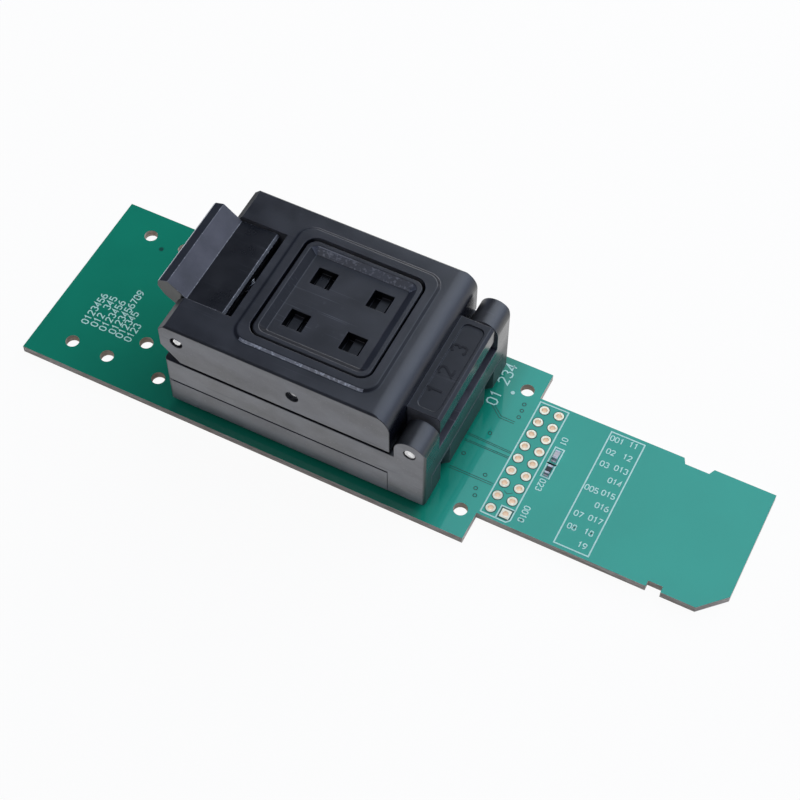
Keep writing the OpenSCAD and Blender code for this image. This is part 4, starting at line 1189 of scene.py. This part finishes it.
shape = bmesh.new()
for text, y in MOULDED_NUMBERS:
    print_number(
        shape, text, PANEL_X, y, MOULDED_CAP, 90, MOULDED_LINE,
        root=PANEL_FLOOR - RAISED, top=PANEL_FLOOR + RAISED,
    )
make_piece("moulded_numbers", shape, dull_slope, "lid")
print("moulded numbers:", len(MOULDED_NUMBERS), "raised by mm:", round(RAISED / MM, 3))

# %% [markdown]
# ## Small parts on the board
# The LED is a milky block and the resistor a black glazed chip, each between two tinned ends. Solder
# climbs the ends in a hollow curve, which is what tells a soldered part from one that is laid down. The
# curve is a short profile drawn across the width of the part.

# %% Small parts on the board
FILLET = [(0.0, 0.34), (0.06, 0.2), (0.14, 0.1), (0.27, 0.03), (0.36, 0.0)]
FILLET_SMOOTH_ANGLE = 60.0
CHIP_HALF = 0.42
CHIP_LENGTH = 1.6

milky_lens = speckled("milky_lens", (0.86, 0.82, 0.8), (0.7, 0.64, 0.62), 0.25)
black_glaze = speckled("black_glaze", (0.03, 0.03, 0.034), (0.015, 0.015, 0.018), 0.3)
moulded_copy("status_led", "led_block", "base", (milky_lens, milky_lens), width=0.06 * MM)
moulded_copy(
    "led_resistor", "resistor_block", "base", (black_glaze, black_glaze), width=0.04 * MM,
)


def solder_fillet(shape, x, y, direction):
    """A hollow ramp of solder against one end of a part, given in millimetres."""
    rows = []
    for side in (-CHIP_HALF, CHIP_HALF):
        ring = [(x + side, y + direction * u, v) for u, v in FILLET] + [(x + side, y, 0.0)]
        rows.append([shape.verts.new((a * MM, b * MM, BOARD_TOP + c * MM)) for a, b, c in ring])
    for row in rows:
        shape.faces.new(row)
    join_rings(shape, *rows)


low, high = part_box("chip_end_caps")
chip_x = (low.x + high.x) / 2 / MM
resistor_ends = (low.y / MM, low.y / MM + CHIP_LENGTH)
led_ends = (high.y / MM - CHIP_LENGTH, high.y / MM)
shape = bmesh.new()
for near, far in (resistor_ends, led_ends):
    solder_fillet(shape, chip_x, near, -1)
    solder_fillet(shape, chip_x, far, 1)
make_piece("solder_fillets", shape, tin_cap, "base", smooth_angle=FILLET_SMOOTH_ANGLE)
print("LED, resistor and four solder fillets at x in mm:", round(chip_x, 2))

# %% [markdown]
# ## Paper floor
# The object lies on white paper. The floor is matt white, and what the camera and the reflections see
# of it is lifted towards pure white, while a trace of the object's soft shadow stays. More light would
# whiten the paper too, but it would also wash out the object.

# %% Paper floor
FLOOR_HALF = 1.5
FLOOR_GAP = 0.01 * MM
FLOOR_LIFT = 0.95
PAPER_WHITE = (0.92, 0.92, 0.92, 1.0)
PURE_WHITE = (1.0, 1.0, 1.0, 1.0)

paper = bpy.data.materials.new("white_paper")
paper.use_nodes = True
tree = paper.node_tree
matt = tree.nodes["Principled BSDF"]
fill(tree, matt, Base_Color=PAPER_WHITE, Roughness=0.9, Specular_IOR_Level=0.1)
glow = add_node(tree, "Emission", Color=PURE_WHITE, Strength=1.0)
rays = add_node(tree, "LightPath").outputs
mirrored = math_node(tree, "MAXIMUM", rays["Is Glossy Ray"], rays["Is Transmission Ray"])
direct = math_node(tree, "MAXIMUM", rays["Is Camera Ray"], mirrored)
lifted = add_node(tree, "MixShader", Fac=levels(tree, direct, 0.0, 1.0, 0.0, FLOOR_LIFT))
feed(tree, lifted.inputs[1], matt.outputs[0])
feed(tree, lifted.inputs[2], glow.outputs[0])
fill(tree, tree.nodes["Material Output"], Surface=lifted.outputs[0])

floor_z = cad_box[0].z - FLOOR_GAP
sheet = bmesh.new()
corners = box_path(-FLOOR_HALF, -FLOOR_HALF, FLOOR_HALF, FLOOR_HALF)
sheet.faces.new([sheet.verts.new((*corner, floor_z)) for corner in corners])
floor_mesh = bpy.data.meshes.new("paper_floor")
sheet.to_mesh(floor_mesh)
sheet.free()
floor_mesh.materials.append(paper)
floor = bpy.data.objects.new("paper_floor", floor_mesh)
scene.collection.objects.link(floor)
print("paper floor at z in mm:", round(floor_z / MM, 3))

# %% [markdown]
# ## Room light
# The room is dim and bluish, darker towards the front, and darkest in the part that the flat tops
# mirror, which keeps them nearly black. A picture of a studio could light the scene, but two soft steps
# in direction do the same without an image.

# %% Room light
ROOM_COLOUR = (0.7, 0.86, 1.32, 1.0)
DIM_TOWARDS = (-0.4, 0.5, 0.77)
DIM_SPREAD = (0.55, 0.97)
DIM_LEVELS = (1.0, 0.15)
DEPTH_LEVELS = (0.1, 0.55)

world = bpy.data.worlds.new("studio")
scene.world = world
world.use_nodes = True
tree = world.node_tree
look = add_node(tree, "TexCoord").outputs["Generated"]
closeness = add_node(tree, "VectorMath")
closeness.operation = "DOT_PRODUCT"
feed(tree, closeness.inputs[0], look)
feed(tree, closeness.inputs[1], DIM_TOWARDS)
dimming = levels(tree, closeness.outputs["Value"], *DIM_SPREAD, *DIM_LEVELS)
depth = levels(tree, split(tree, look)[1], -0.4, 0.4, *DEPTH_LEVELS)
room_level = math_node(tree, "MULTIPLY", dimming, depth)
fill(tree, tree.nodes["Background"], Color=ROOM_COLOUR, Strength=room_level)
print("room light from", DEPTH_LEVELS[0], "in front to", DEPTH_LEVELS[1], "behind")

# %% [markdown]
# ## Lamps
# A wide cool panel stands behind at the right: it whitens the tongue, the thumb tab and the rounded end
# of the lid. A low lamp straight behind lights the board but leaves its front strip in the socket's
# shadow, and a small lamp near the camera picks out the slopes that face the front. Each lamp is given
# by its brightness rather than its power, so that its reflection stays as bright when its size changes.

# %% Lamps
WARM_WHITE = (1.0, 0.99, 0.98)
COOL_WHITE = (0.85, 0.95, 1.1)
ALONG_X = (1.0, 0.0, 0.0)


def soft_panel(name, direction, along, distance, width, height, radiance, colour):
    """A rectangular lamp of an even brightness that faces the object, its width lying along a direction."""
    lamp = bpy.data.lights.new(name, "AREA")
    lamp.shape = "RECTANGLE"
    lamp.size, lamp.size_y = width, height
    lamp.energy = radiance * math.pi * width * height
    lamp.color = colour
    panel = bpy.data.objects.new(name, lamp)
    z_axis = Vector(direction).normalized()
    y_axis = z_axis.cross(Vector(along)).normalized()
    x_axis = y_axis.cross(z_axis)
    turned = Matrix((x_axis, y_axis, z_axis)).transposed().to_4x4()
    panel.matrix_world = Matrix.Translation(z_axis * distance) @ turned
    scene.collection.objects.link(panel)
    return panel


lamps = [
    soft_panel(
        "cool_panel", direction=(0.355, 0.58, 0.737), along=(0.914, -0.018, -0.407), distance=0.6,
        width=0.8, height=0.5, radiance=1.22, colour=COOL_WHITE,
    ),
    soft_panel(
        "back_softbox", direction=(0.0, 0.93, 0.37), along=ALONG_X, distance=0.7,
        width=0.6, height=0.3, radiance=4.0, colour=WARM_WHITE,
    ),
    soft_panel(
        "front_softbox", direction=(-0.22, -0.45, 0.86), along=ALONG_X, distance=0.7,
        width=0.22, height=0.22, radiance=2.6, colour=WARM_WHITE,
    ),
]
print("lamps, in watts:", {panel.name: round(panel.data.energy, 2) for panel in lamps})
